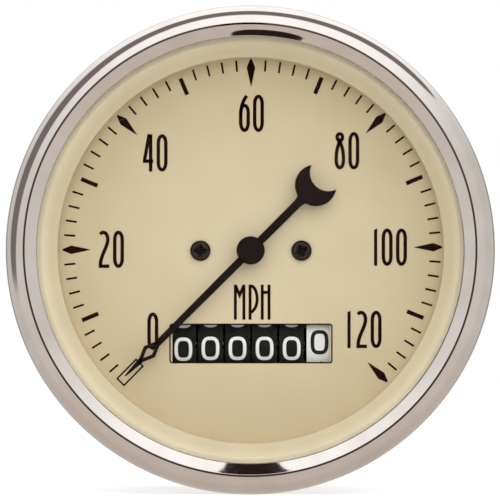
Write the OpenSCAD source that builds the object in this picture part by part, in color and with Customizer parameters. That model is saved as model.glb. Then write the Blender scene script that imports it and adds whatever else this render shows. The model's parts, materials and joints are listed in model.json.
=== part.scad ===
// A round panel speedometer with a mechanical odometer, driven by a flexible cable.
// The dial faces -Y, +Z is up, and the origin is on the axis, at the plane of the panel seat.
// Modules draw in the dial's own frame, x right, y up, z towards the viewer, and place() turns them.

/* [Bezel and lens] */
// How far the bezel stands out past the case
bezel_overhang = 4; // [3:0.1:6]
// Width of the bezel's face, from its outer edge to its opening
bezel_face_w = 6; // [5.2:0.1:7]
// Width of the bezel's outer roll, up to the step line
bezel_roll_w = 3.6; // [3:0.1:4.2]
// Wall of the rolled bezel
bezel_wall = 0.9; // [0.6:0.1:1.1]
// Height of the bezel's crown above the lens
bezel_crown = 2.3; // [2:0.1:3.5]
// Thickness of the bezel's rear lip
bezel_lip_t = 0.8; // [0.5:0.1:1.5]
// Thickness of the lens
lens_t = 2; // [1.5:0.1:3]
// Thickness of the rubber ring under the lens
gasket_t = 0.8; // [0.5:0.1:1.5]
// How far the rubber ring stays back from the bezel's opening
gasket_inset = 0.9; // [0.2:0.1:2]

/* [Case] */
// Outer diameter of the case, which goes through the panel
case_d = 85; // [82:0.5:88]
// Wall of the drawn case
case_wall = 0.9; // [0.7:0.1:1.5]
// Radius of the case's rear corner
case_corner = 3; // [2:0.5:5]
// Distance between the two mounting studs
stud_spacing = 60; // [54:1:64]
// Diameter of the mounting studs
stud_d = 4.8; // [4:0.1:6]
// Length of the mounting studs behind the case
stud_l = 16; // [10:1:25]
// Diameter of the threaded cable nose
nose_d = 15.88; // [14:0.02:18]
// Length of the cable nose behind the case
nose_l = 12; // [9:0.5:16]
// Diameter of the seat for the cable's end
nose_seat_d = 9.5; // [8.6:0.1:11]
// Depth of the seat for the cable's end
nose_seat_l = 3.5; // [2:0.5:5]
// Side of the square socket in the drive shaft
socket_side = 2.7; // [2.2:0.1:3]
// Diameter of the lamp sockets
lamp_d = 12.8; // [11:0.2:14]

/* [Dial] */
// How far the dial plate reaches under the reflector ring
dial_overlap = 1.6; // [1:0.1:2.5]
// Thickness of the dial plate
dial_t = 0.8; // [0.5:0.1:1.2]
// Depth of the dial's face behind the panel seat
dial_depth = 5; // [4.5:0.5:9]
// How far the reflector ring's front lip stands inside the bezel's opening
ring_lip_inset = 1.5; // [0.8:0.1:2]
// Width of the reflector ring's slope, from its front lip in to the dial
ring_slope_w = 2.1; // [1:0.1:4]
// Width of the odometer window
window_w = 31; // [29:0.5:31.5]
// Height of the odometer window
window_h = 7.5; // [6:0.5:9]
// Distance of the odometer window below the dial's centre
window_drop = 17.8; // [17:0.1:18.4]
// Distance between the two dial screws
screw_spacing = 19.4; // [17:0.2:22]
// Diameter of the dial screws' heads
screw_head_d = 3.9; // [3:0.1:4.4]

/* [Pointer] */
// Gap between the pointer's tip and the reflector ring
tip_gap = 3; // [1:0.1:5]
// Distance of the crescent's centre from the axis
crescent_reach = 17.4; // [14:0.1:20]
// Radius of the crescent
crescent_r = 4; // [3:0.1:5]
// Width of the pointer's arm at the hub
arm_w = 1.5; // [1:0.1:2]
// Thickness of the pointer's blade
blade_t = 0.5; // [0.3:0.1:0.8]
// Diameter of the pointer's hub cap
hub_d = 5.4; // [4:0.2:7]
// Rest angle of the pointer at zero, from the dial's +x
zero_angle = 225; // [215:1:235]
// Diameter of the pointer's spindle
spindle_d = 1.2; // [1:0.1:1.4]

/* [Odometer] */
// Radius of the number wheels
wheel_r = 10.2; // [10:0.1:10.5]
// Width of a number wheel
wheel_w = 4.5; // [4.3:0.1:4.6]
// Distance between neighbouring number wheels
wheel_pitch = 5.2; // [5.1:0.05:5.3]
// Diameter of the odometer's axle
axle_d = 1.8; // [1.4:0.1:1.8]
// Thickness of the side plates
plate_t = 1.2; // [0.8:0.1:1.6]

/* [Movement] */
// Outer diameter of the ring magnet
magnet_d = 21.6; // [19:0.2:22]
// Height of the ring magnet
magnet_h = 7.5; // [6:0.5:8]
// Air gap between the magnet and the speed cup
air_gap = 0.8; // [0.5:0.1:0.9]
// Wall of the speed cup
cup_t = 0.4; // [0.3:0.1:0.6]
// Wall of the field cup
field_t = 1.5; // [1:0.1:1.6]
// Thickness of the bridge plate
bridge_t = 2; // [1.5:0.1:3]
// Thickness of the frame's base plate
base_t = 3; // [2:0.5:5]
// Gap between the base plate's edge and the case's rounded corner
base_gap = 0.5; // [0.2:0.1:4]
// Distance between the frame's two pillars
pillar_spacing = 48; // [46:1:52]
// Diameter of the frame's pillars
pillar_d = 5; // [4:0.5:6]
// Module of the first worm gear
worm_module_1 = 0.4; // [0.38:0.01:0.42]
// Module of the second worm gear
worm_module_2 = 0.3; // [0.29:0.01:0.31]

/* [Hidden] */
$fn = 96;

// Fits: a seated joint within one body, and a running fit between two bodies
seat_fit = 0.05;
run_fit = 0.05;
// Gap that keeps moving neighbours apart
side_gap = 0.75;
tiny = 0.01;

// Front stack, from the panel seat towards the viewer
flange_t = 0.9;
ring_flange_t = 0.8;
case_r = case_d / 2;
case_inner_r = case_r - case_wall;
lip_gap = 0.9;
bezel_r = case_r + bezel_overhang;
cavity_r = bezel_r - bezel_wall;
stack_r = cavity_r - 0.3;
z_flange = bezel_lip_t + flange_t;
z_ring = z_flange + ring_flange_t;
z_gasket = z_ring + gasket_t;
z_lens = z_gasket + lens_t;
bezel_top = z_lens + bezel_crown;
bezel_step_r = bezel_r - bezel_roll_w;
bezel_opening_r = bezel_r - bezel_face_w;
ring_lip_r = bezel_opening_r - ring_lip_inset;
ring_inner_r = ring_lip_r - ring_slope_w;
dial_r = ring_inner_r + dial_overlap;
case_inner_corner = case_corner - case_wall;

// Levels from the dial down to the case's rear wall
z_dial = -dial_depth;
z_dial_back = z_dial - dial_t;
wheel_front_gap = 0.6;
axle_y = -window_drop;
axle_z = z_dial_back - wheel_front_gap - wheel_r;
wheel_back_gap = 0.4;
z_bridge_top = axle_z - wheel_r - wheel_back_gap;
z_bridge = z_bridge_top - bridge_t;
cup_drop = 1.4;
z_cup_top = z_bridge - cup_drop;
cup_magnet_gap = 0.6;
z_magnet_top = z_cup_top - cup_t - cup_magnet_gap;
z_magnet = z_magnet_top - magnet_h;
field_floor_gap = 1.5;
z_field_floor = z_magnet - field_floor_gap;
z_field = z_field_floor - 1.2;
worm_drop = 5.9;
z_worm = z_field - worm_drop;
base_drop = 6.9;
z_base_top = z_worm - base_drop;
z_base = z_base_top - base_t;
z_rear = z_base - case_wall;
z_nose = z_rear - nose_l;

// Pointer's levels
blade_lift = 2.5;
z_blade = z_dial + blade_lift;
z_blade_top = z_blade + blade_t;
hub_h = 1.4;
spindle_r = spindle_d / 2;
spindle_foot = 3;
pointer_reach = ring_inner_r - tip_gap;
hub_stem_r = spindle_r + 0.5;

// Spindle's bushes and hairspring
bush_flange_t = 0.7;
top_bush_r = spindle_r + 1.2;
lower_bush_r = spindle_r + 1;
collet_r = spindle_r + 0.8;
spring_h = 0.8;
spring_t = 0.18;
spring_lift = 2.2;
z_spring = z_bridge_top + spring_lift;
spring_out_r = 5.5;

// Magnet and cups
magnet_r = magnet_d / 2;
magnet_bore_r = 4;
cup_r = magnet_r + air_gap + cup_t;
field_inner_r = cup_r + 1;
field_r = field_inner_r + field_t;

// Drive shaft and its nose
shaft_r = 1.8;
journal_r = 2.5;
collar_r = 3.3;
bush_wall = 1.5;
bush_r = journal_r + bush_wall;
nose_r = nose_d / 2;
nose_seat_r = nose_r + 0.26;
nose_flange_r = nose_seat_r + 2;
nose_flange_t = 1.5;
z_collar = z_base_top + nose_flange_t + 0.1;
collar_t = 0.6;
z_shaft_end = z_nose + nose_seat_l + 0.3;
socket_l = 10;

// Gear train: 25 and 52 teeth on the worm wheels, 39 to 30 on the spur pair, 1000 turns to 1 mile
first_teeth = 25;
second_teeth = 52;
lay_teeth = 39;
odometer_teeth = 30;
worm_r_1 = 3.4;
worm_r_2 = 2;
worm_l_1 = 6;
worm_l_2 = 5;
first_r = worm_module_1 * first_teeth / 2;
second_r = worm_module_2 * second_teeth / 2;
first_x = worm_r_1 + first_r;
first_shaft_r = 1;
worm_wheel_w = 1.6;
lay_y = axle_y - 3.2;
lay_z = z_worm + worm_r_2 + second_r;
lay_shaft_r = 1.2;
spur_distance = norm([axle_y - lay_y, axle_z - lay_z]);
spur_module = 2 * spur_distance / (lay_teeth + odometer_teeth);
spur_angle = atan2(axle_z - lay_z, axle_y - lay_y);
spur_w = 2;

// Number wheels, counted from the tenths wheel on the right, and their carry pinions
wheel_count = 6;
axle_r = axle_d / 2;
rim_r = 9;
web_t = 1;
carry_teeth = 20;
pinion_teeth = 8;
carry_module = 0.8;
carry_r = carry_module * carry_teeth / 2;
pinion_r = carry_module * pinion_teeth / 2;
pinion_offset = carry_r - pinion_r;
pinion_tip_r = pinion_r + 0.5;
pinion_root_r = pinion_r - 0.75;
waist_r = 2;
between = wheel_pitch - wheel_w;
pinion_half = between / 2 + (wheel_w - web_t) / 2 - 0.25;
carrier_t = between - 0.3;
wheels_half = (wheel_count - 1) / 2 * wheel_pitch + wheel_w / 2;
gear_hub_l = 1;
left_plate_x = -wheels_half - side_gap - plate_t;
spur_x = wheels_half + gear_hub_l;
right_plate_gap = 1.15;
right_plate_x = spur_x + spur_w + right_plate_gap;
rail_r = 0.8;
rail_clear = 0.8;
rail_drop = wheel_r + rail_clear + rail_r;
rail_y = axle_y - rail_drop;

// Frame, posts and fasteners
post_r = 2.2;
pillar_y = 10;
bar_low = 3;
bar_high = 14.5;
ear_t = 1;
ear_low = 3.4;
ear_high = 8.6;
ear_reach = 20;
ear_screw_x = 17.6;
ear_screw_y = 6;
lug_half = 3;
lug_l = 3;
lug_y_front = 8;
lug_clear = 1.2;
lug_y_rear = lay_y - second_r - lug_clear - lug_l;
stud_r = stud_d / 2;
stud_seat_r = stud_r + 0.2;
stud_head_r = stud_seat_r + 1.4;
stud_head_t = 1.5;
case_screw_r = 1.5;
base_r = case_inner_r - case_inner_corner - base_gap;
case_screw_inset = 9;
case_screw_ring = base_r - case_screw_inset;
case_screw_angles = [90, 210, 330];
lamp_r = lamp_d / 2;
lamp_margin = 4;
lamp_angle = 40;
lamp_ring = case_inner_r - lamp_r - lamp_margin;
lamp_x = lamp_ring * cos(lamp_angle);
lamp_y = lamp_ring * sin(lamp_angle);
bulb_r = 4.5;
socket_in = 5;
z_socket = z_base_top + socket_in;
socket_flange_t = 1.2;
socket_boss_l = 3;
contact_r = 1.8;
contact_out = 1.5;
plate_foot_l = 7;
plate_foot_t = 1.2;
plate_half = 5;
foot_screw_r = 1.1;
foot_screw_l = 2;
small_screw_r = 1;
post_thread_l = 4;
pillar_thread_l = 5;
head_over = 0.9;
head_t = 1.2;

// Turns the dial's frame into the part's frame
module place() {
    rotate([90, 0, 0]) children();
}

// A ring or, with inner radius 0, a disc between two levels
module ring(outer_r, inner_r, z_low, z_high) {
    translate([0, 0, z_low]) difference() {
        cylinder(r = outer_r, h = z_high - z_low);
        if (inner_r > 0)
            translate([0, 0, -1]) cylinder(r = inner_r, h = z_high - z_low + 2);
    }
}

// Extrudes a y-z outline along x, from x_low over the length l
module along_x(x_low, l) {
    translate([x_low, 0, 0]) rotate([90, 0, 90]) linear_extrude(l) children();
}

// Extrudes an x-z outline along y, from y_low over the length l
module along_y(y_low, l) {
    translate([0, y_low + l, 0]) rotate([90, 0, 0]) linear_extrude(l) children();
}

// Points of an arc about a centre, from angle a to angle b
function arc(centre, r, a, b, steps) =
    [for (i = [0:steps]) centre + r * [cos(a + (b - a) * i / steps), sin(a + (b - a) * i / steps)]];

// Points of an oval about a centre, half a wide and half b high, from angle a_low to angle a_high
function oval(centre, a, b, a_low, a_high, steps) =
    [for (i = [0:steps]) let (t = a_low + (a_high - a_low) * i / steps) centre + [a * cos(t), b * sin(t)]];

// Outline of a gear with straight flanks, whose teeth take the given share of the pitch circle
function gear_points(teeth, root_r, pitch_r, tip_r, share) = [
    for (i = [0:teeth - 1])
        for (side = [-1, 1])
            for (r = side < 0 ? [root_r, tip_r] : [tip_r, root_r])
                let (half = share * PI * pitch_r / teeth - (r - pitch_r) * tan(20))
                    r * [cos(360 * i / teeth + side * half / r * 180 / PI),
                         sin(360 * i / teeth + side * half / r * 180 / PI)]
];

module gear_2d(teeth, root_r, pitch_r, tip_r, share, phase) {
    rotate(phase) polygon(gear_points(teeth, root_r, pitch_r, tip_r, share));
}

// Section of a one-start worm: the thread is a lobe whose flanks fall from tip to root
function worm_points(root_r, tip_r, tip_angle, base_angle, flank_steps, root_steps) = concat(
    [for (i = [0:flank_steps])
        let (a = tip_angle / 2 + (base_angle - tip_angle) / 2 * i / flank_steps)
            (tip_r + (root_r - tip_r) * i / flank_steps) * [cos(a), sin(a)]],
    [for (i = [1:root_steps - 1])
        let (a = base_angle / 2 + (360 - base_angle) * i / root_steps)
            root_r * [cos(a), sin(a)]],
    [for (i = [0:flank_steps])
        let (a = -base_angle / 2 + (base_angle - tip_angle) / 2 * i / flank_steps)
            (root_r + (tip_r - root_r) * i / flank_steps) * [cos(a), sin(a)]]
);

// A worm along z, centred, with its crest at the given angle at mid length; hand 1 is right-handed
module worm(m, pitch_r, l, hand, crest_angle) {
    lead = PI * m;
    turn = 360 * l / lead;
    rotate(crest_angle - hand * turn / 2)
        linear_extrude(height = l, center = true, twist = -hand * turn, slices = ceil(turn / 30), $fn = 13)
            polygon(worm_points(pitch_r - 1.25 * m, pitch_r + m, 45, 225, 3, 4));
}

// A worm wheel's outline with a tooth space at the given angle
module worm_wheel_2d(teeth, m, space_angle) {
    pitch_r = m * teeth / 2;
    gear_2d(teeth, pitch_r - 1.3 * m, pitch_r, pitch_r + 0.85 * m, 0.4, space_angle + 180 / teeth);
}

// A screw along z with its head on top of the seat
module screw(r, l, head_r, head_h) {
    translate([0, 0, -l]) cylinder(r = r, h = l + tiny);
    cylinder(r = head_r, h = head_h);
}

// A slot cut across a screw's head
module slot(head_r, head_h) {
    translate([-head_r - 1, -0.25, head_h * 0.5]) cube([2 * head_r + 2, 0.5, head_h]);
}

// The roll is part of an oval that falls away outwards from the step line, the inner face slopes in
module bezel() {
    roll_h = 3.4;
    roll_over = 0.7;
    face_drop = 0.85;
    inner_edge = 0.3;
    groove_half = 0.12;
    groove_depth = 0.35;
    lip_r = case_r + lip_gap;
    roll_a = bezel_roll_w + roll_over;
    roll_end = acos((roll_over + groove_half) / roll_a);
    roll_mid = [bezel_step_r - roll_over, bezel_top - roll_h * sin(roll_end)];
    face_z = bezel_top - 0.05;
    color("silver") place() rotate_extrude() polygon(concat(
        [[lip_r, 0], [bezel_r - bezel_lip_t, 0]],
        arc([bezel_r - bezel_lip_t, bezel_lip_t], bezel_lip_t, -90, 0, 4),
        oval(roll_mid, roll_a, roll_h, 0, roll_end, 10),
        [[bezel_step_r + groove_half, bezel_top - groove_depth],
         [bezel_step_r - groove_half, bezel_top - groove_depth], [bezel_step_r - groove_half, face_z],
         [bezel_opening_r + inner_edge, face_z - face_drop],
         [bezel_opening_r, face_z - face_drop - inner_edge],
         [bezel_opening_r, z_lens], [cavity_r, z_lens], [cavity_r, bezel_lip_t], [lip_r, bezel_lip_t]]
    ));
}

module lens() {
    color([0.85, 0.9, 0.92, 0.35]) place() ring(stack_r, 0, z_gasket, z_lens);
}

module lens_gasket() {
    color([0.08, 0.08, 0.08]) place() ring(stack_r, bezel_opening_r + gasket_inset, z_ring, z_gasket);
}

// A rounded lip, a slope down inwards, and an upright wall that stands on the dial
module reflector_ring() {
    wall = 0.7;
    lip = 1;
    slope = 45;
    lip_end_r = ring_lip_r + lip - lip * sin(slope);
    lip_end_z = z_ring - lip + lip * cos(slope);
    edge_z = lip_end_z - (lip_end_r - ring_inner_r) * tan(slope);
    back_z = edge_z + wall * tan(slope) - wall / cos(slope);
    back_r = ring_inner_r + wall + (z_flange - back_z) / tan(slope);
    color("wheat") place() rotate_extrude() polygon(concat(
        [[stack_r, z_flange], [stack_r, z_ring]],
        arc([ring_lip_r + lip, z_ring - lip], lip, 90, 90 + slope, 4),
        [[ring_inner_r, edge_z], [ring_inner_r, z_dial], [ring_inner_r + wall, z_dial],
         [ring_inner_r + wall, back_z], [back_r, z_flange]]
    ));
}

module case() {
    color("dimgray") place() difference() {
        rotate_extrude() polygon(concat(
            [[0, z_rear]],
            arc([case_r - case_corner, z_rear + case_corner], case_corner, -90, 0, 6),
            [[case_r, bezel_lip_t], [stack_r, bezel_lip_t], [stack_r, z_flange], [case_inner_r, z_flange]],
            arc([case_inner_r - case_inner_corner, z_base + case_inner_corner], case_inner_corner, 0, -90, 6),
            [[0, z_base]]
        ));
        rear_holes(z_rear - 1, case_wall + 2);
    }
}

// Holes that the rear wall and the base plate share
module rear_holes(z_low, h) {
    translate([0, 0, z_low]) {
        cylinder(r = nose_seat_r + seat_fit, h = h);
        for (side = [-1, 1]) {
            translate([side * stud_spacing / 2, 0, 0]) cylinder(r = stud_seat_r + seat_fit, h = h);
            translate([side * lamp_x, lamp_y, 0]) cylinder(r = lamp_r + seat_fit, h = h);
        }
        for (a = case_screw_angles)
            rotate(a) translate([case_screw_ring, 0, 0]) cylinder(r = case_screw_r + seat_fit, h = h);
    }
}

module case_screws() {
    head_r = 3;
    head_h = 1.8;
    color("darkgray") place() for (a = case_screw_angles)
        rotate(a) translate([case_screw_ring, 0, z_rear]) rotate([180, 0, 0]) difference() {
            screw(case_screw_r, case_wall + base_t - 0.3, head_r, head_h);
            slot(head_r, head_h);
        }
}

module dial_plate() {
    color("wheat") place() difference() {
        ring(dial_r, spindle_r + 1, z_dial_back, z_dial);
        translate([-window_w / 2, axle_y - window_h / 2, z_dial_back - 1])
            cube([window_w, window_h, dial_t + 2]);
        for (side = [-1, 1])
            translate([side * screw_spacing / 2, 0, z_dial_back - 1])
                cylinder(r = small_screw_r + seat_fit, h = dial_t + 2);
    }
}

module dial_screws() {
    head_r = screw_head_d / 2;
    head_h = 1.1;
    recess_w = 0.62;
    recess_l = 1.24 * head_r;
    recess_depth = 0.6;
    recess_turn = 20;
    color("black") place() for (side = [-1, 1])
        translate([side * screw_spacing / 2, 0, z_dial]) difference() {
            screw(small_screw_r, dial_t + post_thread_l, head_r, head_h);
            for (turn = [0, 90])
                rotate(turn + recess_turn)
                    translate([-recess_l / 2, -recess_w / 2, head_h - recess_depth])
                        cube([recess_l, recess_w, recess_depth + 1]);
        }
}

// The blade along +x: spike, open diamond, arm, tail and crescent
module pointer_blade() {
    half = arm_w / 2;
    neck = half * 0.8;
    shoulder = 0.52;
    tip = 0.06;
    loop_back = 6.55;
    loop_mid = pointer_reach - loop_back;
    loop_half = 2.6;
    loop_w = 1.36;
    hole_half = 2;
    hole_w = 0.8;
    tail = half * 1.08;
    tail_end = -crescent_reach + 2;
    bite_shift = crescent_r * 0.86;
    bite_r = crescent_r * 0.885;
    difference() {
        union() {
            linear_extrude(blade_t)
                polygon([[tail_end, tail], [0, half], [loop_mid - loop_half, neck],
                         [loop_mid, loop_w], [loop_mid + loop_half, shoulder], [pointer_reach, tip],
                         [pointer_reach, -tip], [loop_mid + loop_half, -shoulder], [loop_mid, -loop_w],
                         [loop_mid - loop_half, -neck], [0, -half], [tail_end, -tail]]);
            cylinder(r = hub_d / 2, h = blade_t);
            translate([-crescent_reach, 0, 0]) difference() {
                cylinder(r = crescent_r, h = blade_t);
                translate([-bite_shift, 0, -1]) cylinder(r = bite_r, h = blade_t + 2);
            }
        }
        translate([loop_mid, 0, -1]) linear_extrude(blade_t + 2)
            polygon([[-hole_half, 0], [0, hole_w], [hole_half, 0], [0, -hole_w]]);
        translate([0, 0, -1]) cylinder(r = hub_stem_r + seat_fit, h = blade_t + 2);
    }
}

module pointer() {
    color("black") place() rotate(zero_angle) translate([0, 0, z_blade]) pointer_blade();
}

module pointer_hub() {
    dome = 0.5;
    roof = 0.4;
    hub_r = hub_d / 2;
    stem_l = 1.2;
    color("black") place() rotate_extrude() polygon(concat(
        [[spindle_r + seat_fit, z_blade - stem_l], [hub_stem_r, z_blade - stem_l],
         [hub_stem_r, z_blade_top], [hub_r, z_blade_top]],
        arc([hub_r - dome, z_blade_top + hub_h - dome], dome, 0, 90, 5),
        [[0, z_blade_top + hub_h], [0, z_blade_top + hub_h - roof],
         [spindle_r + seat_fit, z_blade_top + hub_h - roof]]
    ));
}

module spindle() {
    color("lightgray") place()
        ring(spindle_r, 0, z_magnet_top - spindle_foot, z_blade_top + hub_h - 0.45);
}

module hairspring_collet() {
    color("goldenrod") place()
        ring(collet_r, spindle_r + seat_fit, z_spring - 0.6, z_spring + spring_h + 0.6);
}

module speed_cup() {
    hub_r = 2;
    skirt_l = magnet_h + 0.6;
    color("gainsboro") place() {
        ring(cup_r, spindle_r + seat_fit, z_cup_top - cup_t, z_cup_top);
        ring(cup_r, cup_r - cup_t, z_cup_top - cup_t - skirt_l, z_cup_top - cup_t + tiny);
        ring(hub_r, spindle_r + seat_fit, z_cup_top - tiny, z_cup_top + 0.6);
    }
}

// Flat spiral strip from the collet to the stud
module hairspring() {
    turns = 4.75;
    inner_r = collet_r + 0.1;
    steps = round(turns * 20);
    function at(i, off) = let (a = 360 * turns * i / steps + 180,
        r = inner_r + (spring_out_r - inner_r) * i / steps + off) r * [cos(a), sin(a)];
    color("goldenrod") place() translate([0, 0, z_spring]) linear_extrude(spring_h) polygon(concat(
        [for (i = [0:steps]) at(i, 0)], [for (i = [steps:-1:0]) at(i, spring_t)]));
}

module hairspring_stud() {
    r = 0.8;
    color("goldenrod") place() translate([0, spring_out_r + spring_t + r + seat_fit, 0])
        ring(r, 0, z_bridge_top, z_spring + spring_h + 0.4);
}

module top_bush() {
    color("darkgoldenrod") place() {
        ring(top_bush_r, spindle_r + run_fit, z_bridge - 0.2, z_bridge_top + tiny);
        ring(top_bush_r + 0.8, spindle_r + run_fit, z_bridge_top, z_bridge_top + bush_flange_t);
    }
}

// Where the bridge's two screws go into the pillars
module at_pillars() {
    for (side = [-1, 1]) translate([side * pillar_spacing / 2, pillar_y, 0]) children();
}

// Where the field cup's two screws go through the bridge
module at_ears() {
    for (side = [-1, 1]) translate([side * ear_screw_x, ear_screw_y, 0]) children();
}

module bridge() {
    end_r = (bar_high - bar_low) / 2;
    bar_y = (bar_high + bar_low) / 2;
    color("darkkhaki") place() {
        difference() {
            translate([0, 0, z_bridge]) linear_extrude(bridge_t) union() {
                translate([-pillar_spacing / 2, bar_low]) square([pillar_spacing, bar_high - bar_low]);
                for (side = [-1, 1]) translate([side * pillar_spacing / 2, bar_y]) circle(r = end_r);
                translate([-screw_spacing / 2, -post_r - 1.5])
                    square([screw_spacing, bar_low + post_r + 2]);
                for (side = [-1, 1]) translate([side * screw_spacing / 2, 0]) circle(r = post_r + 1.5);
            }
            translate([0, 0, z_bridge - 1]) {
                cylinder(r = top_bush_r + seat_fit, h = bridge_t + 2);
                at_pillars() cylinder(r = case_screw_r + seat_fit, h = bridge_t + 2);
                at_ears() cylinder(r = small_screw_r + seat_fit, h = bridge_t + 2);
            }
        }
        for (side = [-1, 1]) translate([side * screw_spacing / 2, 0, 0]) difference() {
            ring(post_r, 0, z_bridge_top - tiny, z_dial_back);
            ring(small_screw_r + seat_fit, 0, z_dial_back - post_thread_l - 0.6, z_dial_back + 1);
        }
    }
}

module bridge_screws() {
    color("darkgray") place() {
        at_pillars() translate([0, 0, z_bridge_top]) difference() {
            screw(case_screw_r, bridge_t + pillar_thread_l, case_screw_r + head_over, head_t);
            slot(case_screw_r + head_over, head_t);
        }
        at_ears() translate([0, 0, z_bridge_top]) difference() {
            screw(small_screw_r, bridge_t + ear_t, small_screw_r + head_over, head_t);
            slot(small_screw_r + head_over, head_t);
        }
    }
}

module field_cup() {
    color("slategray") place() {
        ring(field_r, field_inner_r, z_field, z_bridge);
        ring(field_inner_r + tiny, shaft_r + 1.2, z_field, z_field_floor);
        difference() {
            translate([-ear_reach, ear_low, z_bridge - ear_t])
                cube([2 * ear_reach, ear_high - ear_low, ear_t]);
            translate([0, 0, z_bridge - ear_t - 1]) {
                cylinder(r = field_r - 0.5, h = ear_t + 2);
                at_ears() cylinder(r = small_screw_r + seat_fit, h = ear_t + 2);
            }
        }
    }
}

module frame() {
    color("darkkhaki") place() {
        difference() {
            ring(base_r, 0, z_base, z_base_top);
            rear_holes(z_base - 1, base_t + 2);
            at_feet() translate([0, 0, z_base_top - foot_screw_l - 0.4])
                cylinder(r = foot_screw_r + seat_fit, h = foot_screw_l + 1);
        }
        at_pillars() difference() {
            ring(pillar_d / 2, 0, z_base_top - tiny, z_bridge);
            ring(case_screw_r + seat_fit, 0, z_bridge - pillar_thread_l - 1, z_bridge + 1);
        }
        for (y = [lug_y_front, lug_y_rear]) difference() {
            along_y(y, lug_l) translate([first_x - lug_half, z_base_top - tiny])
                square([2 * lug_half, z_worm - z_base_top + 2.4]);
            along_y(y - 1, lug_l + 2) translate([first_x, z_worm]) circle(r = first_shaft_r + run_fit);
        }
    }
}

module mounting_studs() {
    color("darkgray") place() for (side = [-1, 1]) translate([side * stud_spacing / 2, 0, 0]) {
        ring(stud_r, 0, z_rear - stud_l, z_rear + tiny);
        ring(stud_seat_r, 0, z_rear, z_base_top + tiny);
        ring(stud_head_r, 0, z_base_top, z_base_top + stud_head_t);
    }
}

module cable_nose() {
    bore_r = bush_r + seat_fit;
    color("darkgray") place() {
        ring(nose_r, bore_r, z_nose + nose_seat_l - tiny, z_rear + tiny);
        ring(nose_seat_r, bore_r, z_rear, z_base_top + tiny);
        ring(nose_r, nose_seat_d / 2, z_nose, z_nose + nose_seat_l);
        ring(nose_flange_r, bore_r, z_base_top, z_base_top + nose_flange_t);
    }
}

module drive_bush() {
    color("darkgoldenrod") place()
        ring(bush_r, journal_r + run_fit, z_nose + nose_seat_l, z_base_top + nose_flange_t);
}

module drive_shaft() {
    bush_seat = spindle_foot + 1;
    color("lightgray") place() difference() {
        union() {
            ring(journal_r, 0, z_shaft_end, z_collar + tiny);
            ring(collar_r, 0, z_collar, z_collar + collar_t);
            ring(shaft_r, 0, z_collar, z_magnet - 0.8 + tiny);
            ring(magnet_bore_r + 1.5, 0, z_magnet - 0.8, z_magnet);
            ring(magnet_bore_r - seat_fit, 0, z_magnet - tiny, z_magnet_top);
        }
        ring(lower_bush_r + seat_fit, 0, z_magnet_top - bush_seat, z_magnet_top + 1);
        translate([-socket_side / 2, -socket_side / 2, z_shaft_end - 1])
            cube([socket_side, socket_side, socket_l + 1]);
    }
}

module lower_bush() {
    color("darkgoldenrod") place() difference() {
        ring(lower_bush_r, 0, z_magnet_top - spindle_foot - 1, z_magnet_top);
        ring(spindle_r + run_fit, 0, z_magnet_top - spindle_foot - 0.1, z_magnet_top + 1);
    }
}

module magnet() {
    color([0.25, 0.25, 0.27]) place() ring(magnet_r, magnet_bore_r, z_magnet, z_magnet_top);
}

module drive_worm() {
    color("goldenrod") place() translate([0, 0, z_worm]) difference() {
        worm(worm_module_1, worm_r_1, worm_l_1, 1, 0);
        cylinder(r = shaft_r + seat_fit, h = worm_l_1 + 2, center = true);
    }
}

module first_shaft() {
    front = lug_y_front + lug_l + 0.6;
    rear = lug_y_rear - 0.6;
    color("lightgray") place() along_y(rear, front - rear)
        translate([first_x, z_worm]) circle(r = first_shaft_r);
}

module first_worm_wheel() {
    color("goldenrod") place() along_y(-worm_wheel_w / 2, worm_wheel_w)
        translate([first_x, z_worm]) difference() {
            worm_wheel_2d(first_teeth, worm_module_1, 180);
            circle(r = first_shaft_r + seat_fit);
        }
}

module second_worm() {
    color("goldenrod") place() translate([first_x, lay_y, z_worm]) rotate([-90, 0, 0]) difference() {
        worm(worm_module_2, worm_r_2, worm_l_2, -1, -90);
        cylinder(r = first_shaft_r + seat_fit, h = worm_l_2 + 2, center = true);
    }
}

module lay_shaft() {
    color("lightgray") place()
        along_x(left_plate_x - 0.6, right_plate_x + plate_t - left_plate_x + 1.2)
            translate([lay_y, lay_z]) circle(r = lay_shaft_r);
}

module second_worm_wheel() {
    color("goldenrod") place() along_x(first_x - worm_wheel_w / 2, worm_wheel_w)
        translate([lay_y, lay_z]) difference() {
            worm_wheel_2d(second_teeth, worm_module_2, 270);
            circle(r = lay_shaft_r + seat_fit);
        }
}

// A spur gear's outline with a tooth at the given angle
module spur_2d(teeth, tooth_angle) {
    pitch_r = spur_module * teeth / 2;
    gear_2d(teeth, pitch_r - 1.25 * spur_module, pitch_r, pitch_r + 0.9 * spur_module, 0.42, tooth_angle);
}

module lay_gear() {
    color("goldenrod") place() along_x(spur_x, spur_w) translate([lay_y, lay_z]) difference() {
        spur_2d(lay_teeth, spur_angle);
        circle(r = lay_shaft_r + seat_fit);
    }
}

module odometer_gear() {
    hub_r = 4;
    color("goldenrod") place() {
        along_x(spur_x, spur_w) translate([axle_y, axle_z]) difference() {
            spur_2d(odometer_teeth, spur_angle + 180 + 180 / odometer_teeth);
            circle(r = axle_r + run_fit);
        }
        along_x(wheels_half, gear_hub_l + tiny) translate([axle_y, axle_z]) difference() {
            circle(r = hub_r);
            circle(r = axle_r + run_fit);
        }
    }
}

// Centre of a number wheel, counted from the tenths wheel
function wheel_x(i) = ((wheel_count - 1) / 2 - i) * wheel_pitch;

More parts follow.
